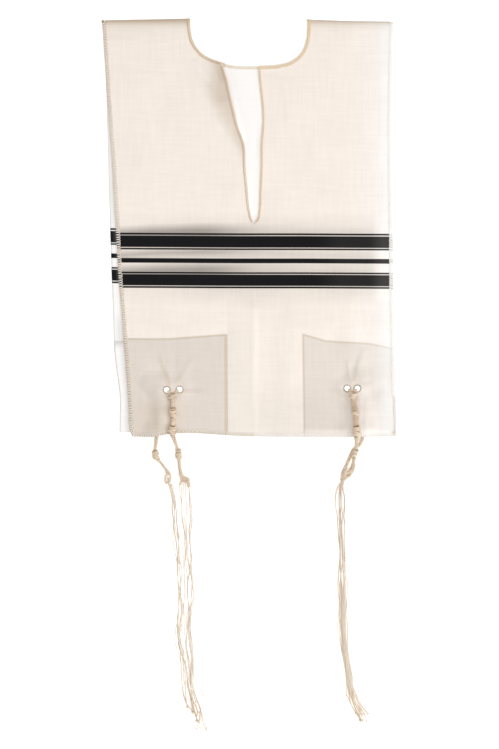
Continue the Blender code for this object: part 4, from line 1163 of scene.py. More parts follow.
class Graph:
    """A material, and its nodes, each joined as it is made."""

    def __init__(self, name, roughness):
        self.material = bpy.data.materials.new(name)
        self.material.use_nodes = True
        self.tree = self.material.node_tree
        self.shader = self.tree.nodes["Principled BSDF"]
        self.set("Roughness", roughness)

    def feed(self, socket, value):
        if isinstance(value, bpy.types.NodeSocket):
            self.tree.links.new(value, socket)
        else:
            socket.default_value = value

    def set(self, name, value):
        self.feed(self.shader.inputs[name], value)

    def node(self, kind, settings=(), **values):
        made = self.tree.nodes.new(f"ShaderNode{kind}")
        for name, value in dict(settings).items():
            setattr(made, name, value)
        for name, value in values.items():
            self.feed(made.inputs[name.replace("_", " ")], value)
        return made

    def math(self, operation, *values):
        made = self.node("Math", {"operation": operation})
        for socket, value in zip(made.inputs, values):
            self.feed(socket, value)
        return made.outputs[0]

    def chain(self, operation, values):
        made = values[0]
        for value in values[1:]:
            made = self.math(operation, made, value)
        return made

    def times(self, *values):
        return self.chain("MULTIPLY", values)

    def plus(self, *values):
        return self.chain("ADD", values)

    def less(self, value, other):
        return self.math("SUBTRACT", value, other)

    def scaled(self, value, factor, shift):
        return self.math("MULTIPLY_ADD", value, factor, shift)

    def vector(self, operation, one, other):
        """Vector mathematics, which gives a number where the operation does."""
        made = self.node("VectorMath", {"operation": operation})
        self.feed(made.inputs[0], one)
        self.feed(made.inputs["Scale" if operation == "SCALE" else 1], other)
        return made.outputs["Value" if operation in ("DOT_PRODUCT", "DISTANCE") else "Vector"]

    def rise(self, value, start, end, low=0.0, high=1.0):
        """Goes smoothly from low to high as the value goes from start to end."""
        made = self.node("MapRange", {"interpolation_type": "SMOOTHSTEP"})
        numbers = (value, start, end, low, high)
        for name, number in zip(("Value", "From Min", "From Max", "To Min", "To Max"), numbers):
            self.feed(made.inputs[name], number)
        return made.outputs[0]

    def fall(self, value, start, end):
        return self.rise(value, start, end, 1.0, 0.0)

    def band(self, value, start, end, soft):
        """1 between two places, with soft edges."""
        into = self.rise(value, start - soft, start + soft)
        return self.times(into, self.fall(value, end - soft, end + soft))

    def share_of(self, value, start, end):
        made = self.node("MapRange", Value=value, **{"From Min": start, "From Max": end})
        return made.outputs[0]

    def mix(self, share, one, other, blend="MIX"):
        made = self.node("Mix", {"data_type": "RGBA", "blend_type": blend})
        for socket, value in zip((made.inputs[0], made.inputs[6], made.inputs[7]), (share, one, other)):
            if isinstance(value, tuple) and len(value) == 3:
                value = (*value, 1.0)
            self.feed(socket, value)
        return made.outputs[2]

    def tint(self, colour, tint, share):
        """The colour multiplied by a tint, as far as the share."""
        return self.mix(share, colour, tint, "MULTIPLY")

    def noise(self, place, scale, detail=2.0, roughness=0.5):
        made = self.node("TexNoise", Vector=place, Scale=scale, Detail=detail, Roughness=roughness)
        return made.outputs["Fac"]

    def stretched(self, place, across, along, detail=2.0, roughness=0.5):
        """Noise with a scale of its own each way."""
        made = self.node("Mapping", Vector=place, Scale=(across, along, 1.0))
        return self.noise(made.outputs["Vector"], 1.0, detail, roughness)

    def woven(self):
        """Place on the cloth as it was woven, or round and along a string, and its two parts."""
        place = self.node("UVMap", {"uv_map": "flat"}).outputs["UV"]
        parts = self.node("SeparateXYZ", Vector=place)
        return place, parts.outputs["X"], parts.outputs["Y"]

    def follow(self, value, points):
        """The height of a line through the points, at the value."""
        low_x, high_x = points[0][0], points[-1][0]
        heights = [height for _, height in points]
        low, high = min(heights), max(heights)
        curve = self.node("FloatCurve", Value=self.share_of(value, low_x, high_x))
        line = curve.mapping.curves[0]
        for number, (place, height) in enumerate(points):
            at = ((place - low_x) / (high_x - low_x), (height - low) / (high - low))
            if 0 < number < len(points) - 1:
                line.points.new(*at)
            else:
                line.points[-1 if number else 0].location = at
        for point in line.points:
            point.handle_type = "VECTOR"
        curve.mapping.update()
        return self.scaled(curve.outputs[0], high - low, low)

    def ramp(self, value, stops):
        """The level of a ramp through the stops, (place, level), at the value."""
        made = self.node("ValToRGB", Fac=value)
        elements = made.color_ramp.elements
        for number, (place, level) in enumerate(stops):
            element = elements[number] if number < len(elements) else elements.new(place)
            element.position = place
            element.color = (level, level, level, 1.0)
        return made.outputs["Color"]

    def bump(self, height, distance, strength):
        made = self.node("Bump", Height=height, Distance=distance, Strength=strength)
        self.set("Normal", made.outputs["Normal"])

    def glow(self, colour, strength):
        self.set("Emission Color", (*colour, 1.0))
        self.set("Emission Strength", strength)


CREAM = (0.862, 0.785, 0.712)
# The cloth looks paler in one layer, and along the front's right edge
PALE = (0.925, 0.900, 0.878)
PALE_EDGE = (0.905, 0.878, 0.850)
STRIPE_BLACK = (0.0035, 0.003, 0.004)
STRIPE_FADED = (0.049, 0.045, 0.043)
# What lies behind, as it shows through the front
BEHIND = (0.05, 0.043, 0.037)
# Tints of the cloth: painted shade under the overlock stitches with their thread's tan, painted shade near
# the fold and on the flap's curl, a painted highlight along the crease down the middle, and darker tones
# between the patches, in the lower left corner and along the patches' edges
STITCH_SHADE_AND_THREAD = (0.76, 0.70, 0.63)
FOLD_PAINTED_SHADE = (0.60, 0.52, 0.42)
FLAP_PAINTED_SHADE = (0.80, 0.755, 0.70)
CREASE_PAINTED_HIGHLIGHT = (1.03, 1.03, 1.035)
BETWEEN_PATCHES = (0.918, 0.922, 0.920)
LOW_CORNER = (0.965, 0.95, 0.92)
PATCH_EDGE = (0.875, 0.835, 0.78)
# Colour of a painted glow, which stands in for light that comes through the cloth
GLOW = (1.0, 0.97, 0.94)

# Painted shade and painted highlights along creases and ridges, and lighter over the shade of the humps
# that the heads and loops make under the front: x1 y1 x2 y2 half width red green blue
PAINTED_SHADES_AND_HIGHLIGHTS = rows_of("""
    -74 -48 -50 -78 5 1.05 1.06 1.08, -53 -70 -36 -100 14 0.92 0.905 0.88,
    -44 -50 -33 -74 8 0.9 0.87 0.83, -113 -414 -99 -456 6 0.945 0.91 0.87,
    -72 -424 -89 -456 6 0.97 0.95 0.925, -46 -466 -80 -464 4.5 0.91 0.88 0.85,
    -114 -466 -102 -518 6 1.05 1.05 1.06, -124 -470 -112 -518 8 0.95 0.93 0.91,
    121 -422 127 -456 3.6 0.95 0.93 0.91, 147 -412 132 -456 9 0.95 0.94 0.93,
    -118 -425 -118 -451 20 1.13 1.12 1.11, -126 -445 -125 -470 14 1.05 1.05 1.05,
    144 -425 145 -445 12 1.1 1.095 1.09, 119 -462 121 -512 7 1.07 1.065 1.06,
    -120 -470 -121 -512 7 1.06 1.055 1.05, 124 -436 125 -456 22 1.13 1.125 1.12,
    136 -452 136 -462 14 1.07 1.07 1.07, 158 -440 158 -462 17 0.89 0.885 0.88,
    158 -500 158 -474 15 0.91 0.905 0.9, 136 -480 138 -512 6 1.1 1.095 1.09,
    143 -474 143 -502 4 0.94 0.93 0.91, 145 -500 148 -518 6 1.05 1.06 1.08,
    -32 -354 6 -354 15 0.955 0.95 0.945, 122 -346 138 -400 18 1.02 1.03 1.045,
    40 -76 47 -122 9 0.975 0.97 0.96, -10 -350 46 -362 26 0.965 0.96 0.955,
    -108 -23 -172 -23 10 0.955 0.95 0.945, 153 -488 153 -504 8 0.945 0.94 0.935,
    -104 -478 -101 -498 6 1.07 1.065 1.06""")
# Painted light: the back's cloth glows beside the front's edges, standing in for light through it from the
# white below and lifting the shade of those edges: the two ends of each segment, its half width and its
# strength
GLOWS = rows_of("""
    -31 60 -7 152 6.5 0.1, -7 152 3 245 5 0.07, -164 262 -152 430 8 0.09,
    -152 430 -146 512 7 0.07, 14 64 17 130 5.5 0.09, 17 130 12 244 6 0.1""")

# Start and length of the ramps that draw the stripes, and how soft their edges are
STRIPE_RAMP = (-8.0, 90.0, 0.2)
NEAR_RAMP = (-38.0, 150.0, 5.0)
FAR_RAMP = (-38.0, 150.0, 14.0)
# The back's stripes show through the front one by one, and further across as one broad shade
NEAR_BARS = ((0.5, 18.0), (30.2, 35.9), (48.8, 66.0))
FAR_BAR = ((-14.0, 78.0),)
BEHIND_SHIFT = rows_of("-0.17 0.005, -0.123 0.0085, -0.06 0.0105, 0 0.011, 0.18 0.004")

# The patches as they show through the front, in metres of the woven cloth: their upper edge, their
# inner edge at its top and bottom, the line along it, and how soft the upper edge's line is
PATCH_LOOKS = {
    "left": {
        "shade": (0.812, 0.802, 0.790),
        "top": rows_of("-0.18 0.3989, -0.0983 0.3986, -0.0608 0.3956, -0.027 0.3933"),
        "inner": (-0.0263, -0.0258),
        "inner_line": (0.0, 0.0042),
        "soft": 0.0008,
    },
    "right": {
        "shade": (0.848, 0.842, 0.830),
        "top": rows_of("""
            0.0675 0.3925, 0.0949 0.4005, 0.1188 0.4024, 0.1509 0.4038, 0.1676 0.4071,
            0.184 0.411"""),
        "inner": (0.0672, 0.0688),
        "inner_line": (-0.0006, 0.0022),
        "soft": 0.0014,
    },
}
UPPER_LINE = (-0.0004, 0.0022)
# A patch's upper edge is a little uneven: scale across and along, height and shift
UNEVEN = {"scale": (30.0, 9.0), "height": 0.0016, "shift": -0.0008}
# Patches lie between these distances from the fold
PATCH_SPAN = (0.39, 0.52)

# Painted shade on the front towards the fold: place in millimetres and share of its light
FOLD_SHADE = rows_of("0 0.62, 2 0.66, 4 0.745, 6 0.835, 8.5 0.895, 12 0.94, 18 0.975, 30 1")
# The stripes fade here, at the right edge: from, to, before and after
STRIPES_END = (0.1750, 0.1762, 1.0, 0.40)

# Noises of the weave: scale across and along, detail and roughness. The last two are broader bands
WEAVE_NOISES = (
    (16.0, 760.0, 2.0, 0.6), (760.0, 16.0, 2.0, 0.6), (26.0, 230.0, 1.0, 0.5), (230.0, 26.0, 1.0, 0.5)
)
WEAVE = {"threads": 290.0, "clouds": 22.0, "tones": (1.65, 3.35, 0.947, 1.032), "relief": 0.00012}


def weave(graph, place):
    """Colour changes and height of a fine plain weave with slubs both ways."""
    across, along, bands, rows = (graph.stretched(place, *numbers) for numbers in WEAVE_NOISES)
    cloudy = graph.noise(place, WEAVE["clouds"], 3.0)
    tone = graph.plus(across, along, cloudy, graph.plus(bands, rows))
    waves = []
    for way in ("X", "Y"):
        wave = graph.node("TexWave", {"bands_direction": way}, Vector=place, Scale=WEAVE["threads"])
        waves.append(wave.outputs["Fac"])
    slubs = graph.times(graph.plus(across, along), 0.8)
    return graph.rise(tone, *WEAVE["tones"]), graph.plus(graph.times(*waves, 0.5), slubs)


def cloth_looks(graph, colour, shade, height):
    graph.set("Base Color", graph.vector("SCALE", colour, shade))
    graph.bump(height, WEAVE["relief"], 0.5)


def stripes(graph, run, bars, start, length, soft):
    """1 on each of the bars, on a ramp over a length of the cloth from the start."""
    stops = [(0.0, 0.0)]
    for bar_start, bar_end in bars:
        near = min(soft, 0.5 * (bar_end - bar_start))
        high = math.sqrt(near / soft)
        places = (bar_start - soft, bar_start + near, bar_end - near, bar_end + soft)
        stops += [((place - start) / length, level) for place, level in zip(places, (0.0, high, high, 0.0))]
    first, last = (FIRST_STRIPE + start) * MM, (FIRST_STRIPE + start + length) * MM
    return graph.ramp(graph.share_of(run, first, last), stops)


def shown_stripes(graph, colour, u, run, front):
    """The back's stripes, as they show through the front."""
    behind = graph.plus(run, graph.follow(u, BEHIND_SHIFT))
    fades = graph.times(front, graph.fall(u, 0.150, 0.166))
    near = stripes(graph, behind, NEAR_BARS, *NEAR_RAMP)
    near = graph.times(near, fades, graph.rise(u, -0.065, 0.03, 0.56, 0.13))
    far = stripes(graph, run, FAR_BAR, *FAR_RAMP)
    far = graph.times(far, fades, graph.rise(u, -0.15, -0.03, 0.08, 0.20))
    far = graph.times(far, graph.rise(u, 0.02, 0.08, 1.0, 0.8))
    return graph.mix(far, graph.mix(near, colour, BEHIND), BEHIND)


def streak(graph, place, x1, y1, x2, y2, half, at_start=0.15):
    """Grows to 1 along a segment, and falls to 0 at a distance from it."""
    start, way = np.array((x1, y1, 0.0)) * MM, np.array((x2 - x1, y2 - y1, 0.0)) * MM
    from_start = graph.vector("SUBTRACT", place, tuple(start))
    along = graph.vector("DOT_PRODUCT", from_start, tuple(way / (way @ way)))
    share = graph.share_of(along, 0.0, 1.0)
    away = graph.vector("DISTANCE", from_start, graph.vector("SCALE", tuple(way), share))
    near = graph.fall(away, 0.0, half * MM)
    return graph.times(near, graph.scaled(share, 1 - at_start, at_start))


def under_stitches(graph, colour, u, run, front):
    """The cloth under the overlock stitches is darker between them: painted shade, with their thread's tan.
    """
    left = [(-y * MM, x * MM) for y, x in zip(FRONT_SIDES["y"], FRONT_SIDES["left"])]
    away = graph.less(u, graph.follow(run, left))
    along = graph.times(graph.rise(run, 0.11, 0.14, 1.0, 0.55), graph.rise(run, 0.22, 0.33, 1.0, 1.9))
    side = graph.times(front, graph.fall(away, 0.0036, 0.0052), along)
    hem = [(x * MM, -y * MM) for x, y in zip(FRONT_HEM["x"], FRONT_HEM["y"])]
    away = graph.less(graph.follow(u, hem), run)
    hem = graph.times(front, graph.fall(away, 0.0030, 0.0046), graph.rise(u, -0.10, 0.0, 0.4, 0.1))
    # Painted shade under the stitches, with their thread's tan
    return graph.tint(colour, STITCH_SHADE_AND_THREAD, graph.math("MAXIMUM", side, hem))


def shown_patches(graph, colour, place, u, run, front):
    """The corner patches and their edges, as they show through the front."""
    lower = graph.times(front, graph.rise(run, 0.38, 0.385))
    for side, looks in PATCH_LOOKS.items():
        wavy = graph.scaled(graph.stretched(place, *UNEVEN["scale"]), UNEVEN["height"], UNEVEN["shift"])
        below = graph.plus(graph.less(run, graph.follow(u, looks["top"])), wavy)
        inner = graph.rise(run, *PATCH_SPAN, *looks["inner"])
        inside = graph.less(inner, u) if side == "left" else graph.less(u, inner)
        fades = line_fades = 1.0
        if side == "right":
            fades = graph.rise(u, 0.115, 0.187, 1.0, 0.52)
            fades = graph.times(fades, graph.rise(run, 0.5095, 0.5155, 1.0, 0.12))
            line_fades = graph.rise(u, 0.15, 0.18, 1.0, 0.6)
        within = graph.times(graph.rise(below, -0.0008, 0.0010), graph.rise(inside, -0.0008, 0.0010))
        colour = graph.tint(colour, looks["shade"], graph.times(lower, within, fades))
        upper_line = graph.band(below, *UPPER_LINE, looks["soft"])
        upper_line = graph.times(upper_line, graph.rise(inside, -0.001, 0.001))
        inner_line = graph.band(inside, *looks["inner_line"], 0.0007)
        inner_line = graph.times(inner_line, graph.rise(below, -0.001, 0.001))
        line = graph.math("MAXIMUM", upper_line, inner_line)
        colour = graph.tint(colour, PATCH_EDGE, graph.times(lower, line, line_fades))
    middle = graph.times(graph.fall(u, 0.002, 0.008), graph.rise(run, 0.345, 0.400))
    low = graph.times(graph.rise(u, 0.070, 0.140, 0.85, 0.0), graph.rise(run, 0.440, 0.490))
    panel = graph.times(front, graph.rise(u, -0.0270, -0.0260), graph.math("MAXIMUM", middle, low))
    colour = graph.tint(colour, BETWEEN_PATCHES, panel)
    corner = graph.times(graph.fall(u, -0.1, -0.088), graph.rise(run, 0.455, 0.49))
    corner = graph.times(corner, graph.rise(u, -0.156, -0.13))
    return graph.tint(colour, LOW_CORNER, graph.times(lower, corner))


def shades(graph, colour, u, v, run, front):
    """Painted shade towards the fold and on the flap's curl beside the slit, and a painted highlight down
    the middle.
    """
    length = FOLD_SHADE[-1][0]
    stops = [(place / length, level) for place, level in FOLD_SHADE]
    fold = graph.ramp(graph.share_of(run, 0.0, length * MM), stops)
    share = graph.plus(graph.rise(u, -0.18, -0.04, 0.25, 0.0), graph.rise(u, -0.12, 0.16, 1.0, 0.78))
    # Painted shade towards the fold, stronger on the left
    dark = graph.times(graph.less(1.0, fold), 2.65, front, share)
    colour = graph.tint(colour, FOLD_PAINTED_SHADE, dark)
    # Painted shade on the flap's curl, towards the slit's left edge
    away = graph.less(graph.scaled(v, -0.27, -0.0486), u)
    reach = graph.times(graph.rise(run, 0.055, 0.092, 0.02, 0.04), graph.rise(run, 0.1, 0.17, 1.0, 0.35))
    near = graph.fall(graph.math("DIVIDE", away, reach), 0.0, 1.0)
    near = graph.times(near, graph.math("GREATER_THAN", away, -0.004), front, graph.fall(run, 0.150, 0.200))
    colour = graph.tint(colour, FLAP_PAINTED_SHADE, near)
    # A painted highlight along the crease down the middle
    line = graph.times(graph.band(u, 0.0060, 0.0105, 0.002), graph.band(run, 0.342, 0.53, 0.006), front)
    return graph.tint(colour, CREASE_PAINTED_HIGHLIGHT, line)


def cotton():
    """The body's cloth, with its woven stripes and what shows through its front."""
    graph = Graph("cotton_cloth", 0.92)
    graph.set("Specular IOR Level", 0.2)
    graph.set("Sheen Weight", 0.04)
    graph.set("Sheen Roughness", 0.6)
    place, u, v = graph.woven()
    front, run = graph.math("LESS_THAN", v, 0.0), graph.math("ABSOLUTE", v)
    shade, height = weave(graph, place)
    pale = graph.plus(graph.rise(u, 0.115, 0.175, 0.0, 0.55), graph.rise(u, 0.1590, 0.1730, 0.0, 0.45))
    colour = graph.mix(front, PALE, graph.mix(pale, CREAM, PALE_EDGE))
    calm = graph.scaled(front, 0.6, 0.4)
    shade = graph.scaled(graph.less(shade, 1.0), calm, 1.0)
    colour = shades(graph, colour, u, v, run, front)
    colour = shown_patches(graph, colour, place, u, run, front)
    colour = shown_stripes(graph, colour, u, run, front)
    # Painted shade and highlights along creases, and painted light over the humps' shade
    for *segment, red, green, blue in PAINTED_SHADES_AND_HIGHLIGHTS:
        share = graph.times(front, streak(graph, place, *segment))
        colour = graph.tint(colour, (red, green, blue), share)
    colour = under_stitches(graph, colour, u, run, front)
    faded = graph.plus(graph.rise(u, 0.080, 0.120, 0.0, 0.25), graph.rise(u, 0.148, 0.174, 0.0, 0.85))
    bars = graph.times(stripes(graph, run, STRIPES, *STRIPE_RAMP), graph.rise(u, *STRIPES_END))
    colour = graph.mix(bars, colour, graph.mix(faded, STRIPE_BLACK, STRIPE_FADED))
    cloth_looks(graph, colour, shade, height)
    # Painted light on the back, along the front's edges
    glow = 0.0
    for *segment, strength in GLOWS:
        glow = graph.scaled(streak(graph, place, *segment, at_start=0.8), strength, glow)
    graph.glow(GLOW, glow)
    return graph.material


def plain_cotton(name, colour):
    graph = Graph(name, 0.92)
    cloth_looks(graph, colour, *weave(graph, graph.woven()[0]))
    return graph.material


def twisted(name, light, dark, roughness, plies, pitch, depth):
    """Twisted string or thread: the plies run round it with painted shade in the grooves between them, and
    its colour is a little uneven.
    """
    graph = Graph(name, roughness)
    place, round_it, along = graph.woven()
    turn = graph.plus(graph.times(round_it, plies), graph.times(along, 1000.0 / pitch))
    ply = graph.math("ABSOLUTE", graph.math("SINE", graph.times(turn, math.pi)))
    uneven = graph.stretched(place, 0.5, 60.0, 3.0, 0.6)
    fibres = graph.stretched(place, 6.0, 2200.0, 2.0, 0.6)
    level = graph.plus(graph.times(ply, 0.55), graph.times(uneven, 0.6), graph.times(fibres, 0.25))
    # Darker in the grooves between the plies, as painted shade, and unevenly
    graph.set("Base Color", graph.mix(graph.rise(level, 0.25, 0.95), dark, light))
    graph.bump(graph.plus(ply, graph.times(fibres, 0.4)), depth * MM, 0.7)
    return graph.material


def floor_white():
    """A white surface that is lit a little from below, as a light table is."""
    graph = Graph("white_surface", 0.95)
    level = graph.noise(graph.node("TexCoord").outputs["Object"], 3.0)
    graph.set("Base Color", graph.mix(level, (0.96, 0.96, 0.96), (0.97, 0.97, 0.97)))
    graph.glow((1.0, 1.0, 1.0), 0.30)
    return graph.material


# Stage

# The camera looks straight down, 1.25 mm to a pixel of a picture 749 pixels high
CAMERA = {"lens": 100.0, "sensor": 36.0, "view": 0.93625, "aim": (0.0002, 0.0017)}
FLOOR = {"half": 6.0, "z": -0.0004}
# Large soft lights: place, size and power
SOFTBOXES = {"light_above": ((0.0, -0.2, 2.2), 2.4, 26), "light_right": ((2.2, -0.9, 1.3), 1.2, 30)}
WORLD_LIGHT = 0.55
# Small lights between the cloths, over the back's patch, which shows white through the front's eyelets
LIGHT_INSIDE = {"radius": 3.6, "over_back": 1.9, "power": 0.00035}


def camera():
    made = bpy.data.objects.new("camera", bpy.data.cameras.new("camera"))
    made.data.lens = CAMERA["lens"]
    made.data.sensor_width = CAMERA["sensor"]
    distance = CAMERA["lens"] / CAMERA["sensor"] * CAMERA["view"]
    made.location = (*CAMERA["aim"], distance)
    bpy.context.scene.collection.objects.link(made)
    bpy.context.scene.camera = made


def floor():
    mesh = bpy.data.meshes.new("floor")
    shape = bmesh.new()
    bmesh.ops.create_grid(shape, x_segments=2, y_segments=2, size=FLOOR["half"])
    shape.to_mesh(mesh)
    shape.free()
    mesh.materials.append(floor_white())
    made = bpy.data.objects.new("floor", mesh)
    made.location.z = FLOOR["z"]
    bpy.context.scene.collection.objects.link(made)


def area_light(name, shape, size, power, place):
    light = bpy.data.lights.new(name, "AREA")
    light.shape = shape
    light.size = light.size_y = size
    light.energy = power
    made = bpy.data.objects.new(name, light)
    made.location = place
    bpy.context.scene.collection.objects.link(made)
    return made


def lights():
    for name, (place, size, power) in SOFTBOXES.items():
        made = area_light(name, "RECTANGLE", size, power, place)
        made.rotation_euler = (-mathutils.Vector(place)).to_track_quat("-Z", "Y").to_euler()
    world = bpy.data.worlds.new("studio")
    world.use_nodes = True
    background = world.node_tree.nodes["Background"]
    background.inputs["Color"].default_value = (1, 1, 1, 1)
    background.inputs["Strength"].default_value = WORLD_LIGHT
    bpy.context.scene.world = world
    bpy.context.scene.view_settings.view_transform = "Standard"
    for corner in ("front_left", "front_right"):
        for x, y in EYELETS[corner]:
            z = float(patch_top(np.array(x), np.array(y))) + LIGHT_INSIDE["over_back"]
            size = 2 * LIGHT_INSIDE["radius"] * MM
            area_light("light_inside", "DISK", size, LIGHT_INSIDE["power"], to_world((x, y, z)))


# Making

# A ball of thread at a corner of the front: how far from it, its radius and its slot
THREAD_ENDS = {"left": ((0.9, 0.4, 0.6), 1.5, 1), "right": ((-2.4, 4.4, 0.9), 2.0, 0)}
# Below this place the overlocking of the right side is narrower
LOW_SIDE = -472.0
# The slots of the threads, loops and needle, by side
SIDE_SLOTS = {"left": (0, 1), "right": (2, 3)}
LOW_SIDE_SLOTS = (3, 3)
HEM_SLOTS = {"left": (0, 4), "right": (2, 3)}
NECK_KINDS = {"left": ("neck", (0, 1)), "right": ("right_neck", (3, 1))}
BACK_NECK_SLOTS = (2, 1)
SLIT_SLOTS = {"left": (0, 1), "right": (3, 4)}
# The row or column that shows where the cloth is beside an edge, and what shows it at the slit's point
INWARD = {"side": -4, "hem": -3, "neck": 3}
BELOW_SLIT = (0.0, -4.0, 0.0)
PATCH_CLOTH = (0.80, 0.71, 0.62)
# The threads of each piece of sewing, by slot
THREADS = {
    "stitches_edges": ("tan", "needle", "pale", "faint", "hem"),
    "stitches_neck": ("golden", "brown", "gold_pale", "gold_light", "golden"),
    "stitches_eyelets": ("ring", "hem", "needle"),
}
# Light and dark of each thread: the dark lies in the grooves between its plies, as painted shade, and in
# its uneven tone
THREAD_SHADES = {
    "tan": ((0.86, 0.80, 0.72), (0.72, 0.65, 0.56)),
    # The needle's thread is a real thread, made dark as painted shade of the needle holes along the edges
    "needle": ((0.44, 0.36, 0.28), (0.28, 0.22, 0.17)),
    "pale": ((0.95, 0.92, 0.89), (0.88, 0.84, 0.80)),
    "faint": ((0.80, 0.74, 0.69), (0.70, 0.64, 0.58)),
    "hem": ((0.62, 0.54, 0.45), (0.44, 0.37, 0.30)),
    "golden": ((0.76, 0.61, 0.43), (0.52, 0.37, 0.22)),
    "gold_pale": ((0.88, 0.79, 0.66), (0.70, 0.58, 0.42)),
    "gold_light": ((0.85, 0.69, 0.48), (0.63, 0.45, 0.27)),
    "brown": ((0.44, 0.33, 0.22), (0.28, 0.20, 0.13)),
    "ring": ((0.56, 0.49, 0.42), (0.38, 0.32, 0.26)),
}
# Each thread's roughness, plies, pitch and relief of its twist
THREAD = (0.8, 2, 1.6, 0.05)
# The wool of the tzitzit, by slot: light, dark, and the same four numbers. The inside's dark wool is
# painted shade inside the heads and knots
WOOL = {
    "wool_string": ((0.82, 0.69, 0.54), (0.52, 0.38, 0.24), 0.85, 3, 3.2, 0.16),
    "wool_inside_shade": ((0.48, 0.32, 0.19), (0.34, 0.22, 0.12), 0.9, 3, 3.2, 0.1),
    "wool_loose": ((0.88, 0.80, 0.70), (0.62, 0.51, 0.39), 0.85, 3, 3.2, 0.14),
    "wool_darker": ((0.82, 0.72, 0.60), (0.57, 0.46, 0.34), 0.85, 3, 3.2, 0.14),
}


def laid_strings():
    """The heads and the loops of all corners, where the part's own lie, and what lifts the front."""
    heads, loops, strings = {}, {}, []
    for corner in ("back_left", "back_right"):
        heads[corner] = lay(HEADS[corner], patch_top)
        loops[corner] = loop_route(corner, patch_top, back_rise, heads[corner][1])
        strings += [(x, y, radius, z + radius) for x, y, z, radius in heads[corner]]
        top_points = loops[corner][1:4] + loops[corner][-4:-1]
        strings += [(x, y, LOOP_RADIUS, z + LOOP_RADIUS) for x, y, z in top_points]

    def on_front(x, y):
        return front_top(x, y, strings)

    def under_front_patch(x, y):
        return front_underside(x, y, strings) - SEAM_GAP - PATCH

    crossed = top_of(heads["back_right"])

    def on_front_and_string(x, y):
        return np.maximum(on_front(x, y), crossed(x, y))

    heads["front_left"] = lay(HEADS["front_left"], on_front)
    heads["front_right"] = lay(HEADS["front_right"], on_front_and_string)
    for corner in ("front_left", "front_right"):
        loops[corner] = loop_route(corner, on_front, under_front_patch, heads[corner][1])
    return heads, loops, strings


def body_cloth(fronts, backs, surface):
    """The folded cloth, from the front's hem over the shoulders to the back's."""
    halves, woven = [], []
    for side in ("left", "right"):
        fold = fold_half(fronts[side][0], backs[side][0])
        front, back = fronts[side][::-1], backs[side]
        halves.append(np.concatenate([front, fold, back]))
        along = np.linspace(-1.0, 1.0, len(fold))[:, None] + 0 * fold[..., 0]
        flat_fold = np.stack([fold[..., 0], along], axis=-1)
        flat_front = woven_front(front[..., 0], front[..., 1])
        woven.append(np.concatenate([flat_front, flat_fold, woven_back(back[..., 0], back[..., 1])]))
    places = []
    for corner in EYELETS:
        side = -1 if corner.startswith("front") else 1
        places += [(*place, side) for place in EYELETS[corner]]
    made = cloth_piece("cloth_body", halves, woven, places, surface, SHELL)
    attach(made, "root")
    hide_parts("body")
    return made


def patch_cloths(fronts, backs, surfaces):
    """The four patches, between the front and the back."""
    to_patch = CLOTH / 2 + SEAM_GAP + PATCH / 2
    for corner in PATCHES:
        panel, side = corner.split("_")
        if panel == "front":
            grid = patch_grid(corner, fronts[side], -to_patch)
        else:
            grid = patch_grid(corner, backs[side], to_patch)
        places = [(*place, -1) for place in EYELETS[corner]]
        name = f"cloth_patch_{corner}"
        made = cloth_piece(name, [grid], [grid[..., :2]], places, surfaces[panel], PATCH_SHELL)
        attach(made, "root")
        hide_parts(f"patch_{corner}")


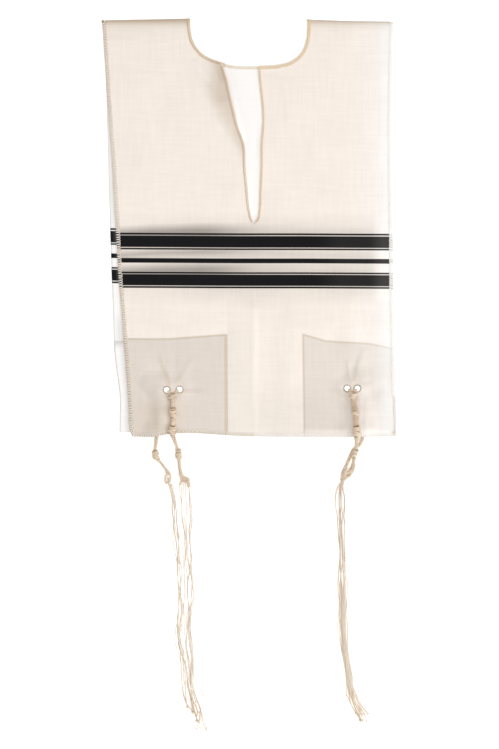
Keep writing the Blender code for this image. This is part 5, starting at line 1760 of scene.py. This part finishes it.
def stitches(fronts, backs, folds, surface):
    """The sewing: overlocked edges and the eyelets' stitched rings."""
    edges, neck, rings = Tubes(), Tubes(), Tubes()
    for side, row in (("left", 0), ("right", -1)):
        shift, radius, slot = THREAD_ENDS[side]
        thread_end(edges, fronts[side][row][-1] + shift, radius, slot)
    for side in ("left", "right"):
        side_edge(edges, side, np.concatenate([fronts[side][::-1], folds[side][: FOLD_ROWS // 2]]))
        overlock(edges, fronts[side][-1], fronts[side][INWARD["hem"]], "hem", HEM_SLOTS[side])
        overlock(edges, backs[side][-1], backs[side][INWARD["hem"]], "hem", HEM_SLOTS["right"])
    for side in ("left", "right"):
        whole = np.concatenate([folds[side][: FOLD_ROWS // 2][::-1], fronts[side]])
        end = FOLD_ROWS // 2 + NECK_ROWS["front"] + 1
        overlock(neck, whole[:end, 0], whole[:end, INWARD["neck"]], *NECK_KINDS[side])
        whole = np.concatenate([folds[side][FOLD_ROWS // 2 :], backs[side]])
        end = FOLD_ROWS // 2 + NECK_ROWS["back"]
        overlock(neck, whole[:end, 0], whole[:end, INWARD["neck"]], "neck", BACK_NECK_SLOTS)
    slit_end = NECK_ROWS["front"] + len(spread_out(FRONT_ROWS["slit"]))
    for side in ("left", "right"):
        rows = fronts[side][NECK_ROWS["front"] : slit_end]
        inner = rows[:, INWARD["neck"]].copy()
        inner[-1] = rows[-1, 0] + BELOW_SLIT
        overlock(neck, rows[:, 0], inner, "slit", SLIT_SLOTS[side])
    for corner in EYELETS:
        below = surface if corner.startswith("front") else back_middle
        for place in EYELETS[corner]:
            eyelet_ring(rings, place, below)
    colours = {name: twisted(f"thread_{name}", *pair, *THREAD) for name, pair in THREAD_SHADES.items()}
    made = []
    for tubes, (name, threads) in zip((edges, neck, rings), THREADS.items()):
        piece = tubes.piece(name, [colours[thread] for thread in threads])
        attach(piece, "root")
        made.append(piece)
    return made


def side_edge(tubes, side, rows):
    """The overlocking of a side edge of the front, from its hem to the shoulder."""
    low = int(np.argmax(rows[:, -1, 1] > LOW_SIDE)) if side == "right" else 0
    edge, inner = rows[:, -1], rows[:, INWARD["side"]]
    overlock(tubes, edge[low:], inner[low:], "side", SIDE_SLOTS[side])
    if low:
        overlock(tubes, edge[: low + 1], inner[: low + 1], "low_side", LOW_SIDE_SLOTS)


def main():
    camera()
    heads, loops, strings = laid_strings()
    front_surface = front_middle(strings)
    fronts, backs = {}, {}
    for side in ("left", "right"):
        fronts[side] = half(side, front_stations(side), FRONT_SIDES, FRONT_HEM, front_surface)
        backs[side] = half(side, back_stations(side), BACK_SIDES, None, back_middle)
    body = body_cloth(fronts, backs, cotton())
    patches = {
        "front": plain_cotton("patch_cloth", PATCH_CLOTH),
        "back": plain_cotton("patch_cloth_pale", PALE),
    }
    patch_cloths(fronts, backs, patches)
    folds = {side: fold_half(fronts[side][0], backs[side][0]) for side in fronts}
    sewn = stitches(fronts, backs, folds, front_surface)
    wool = [twisted(name, *looks) for name, looks in WOOL.items()]
    placed = np.empty((0, 3))
    for corner in ("back_left", "front_left", "back_right", "front_right"):
        placed = tzitzit(corner, heads[corner], loops[corner], placed, wool)
    floor()
    lights()


main()
bpy.context.view_layer.update()
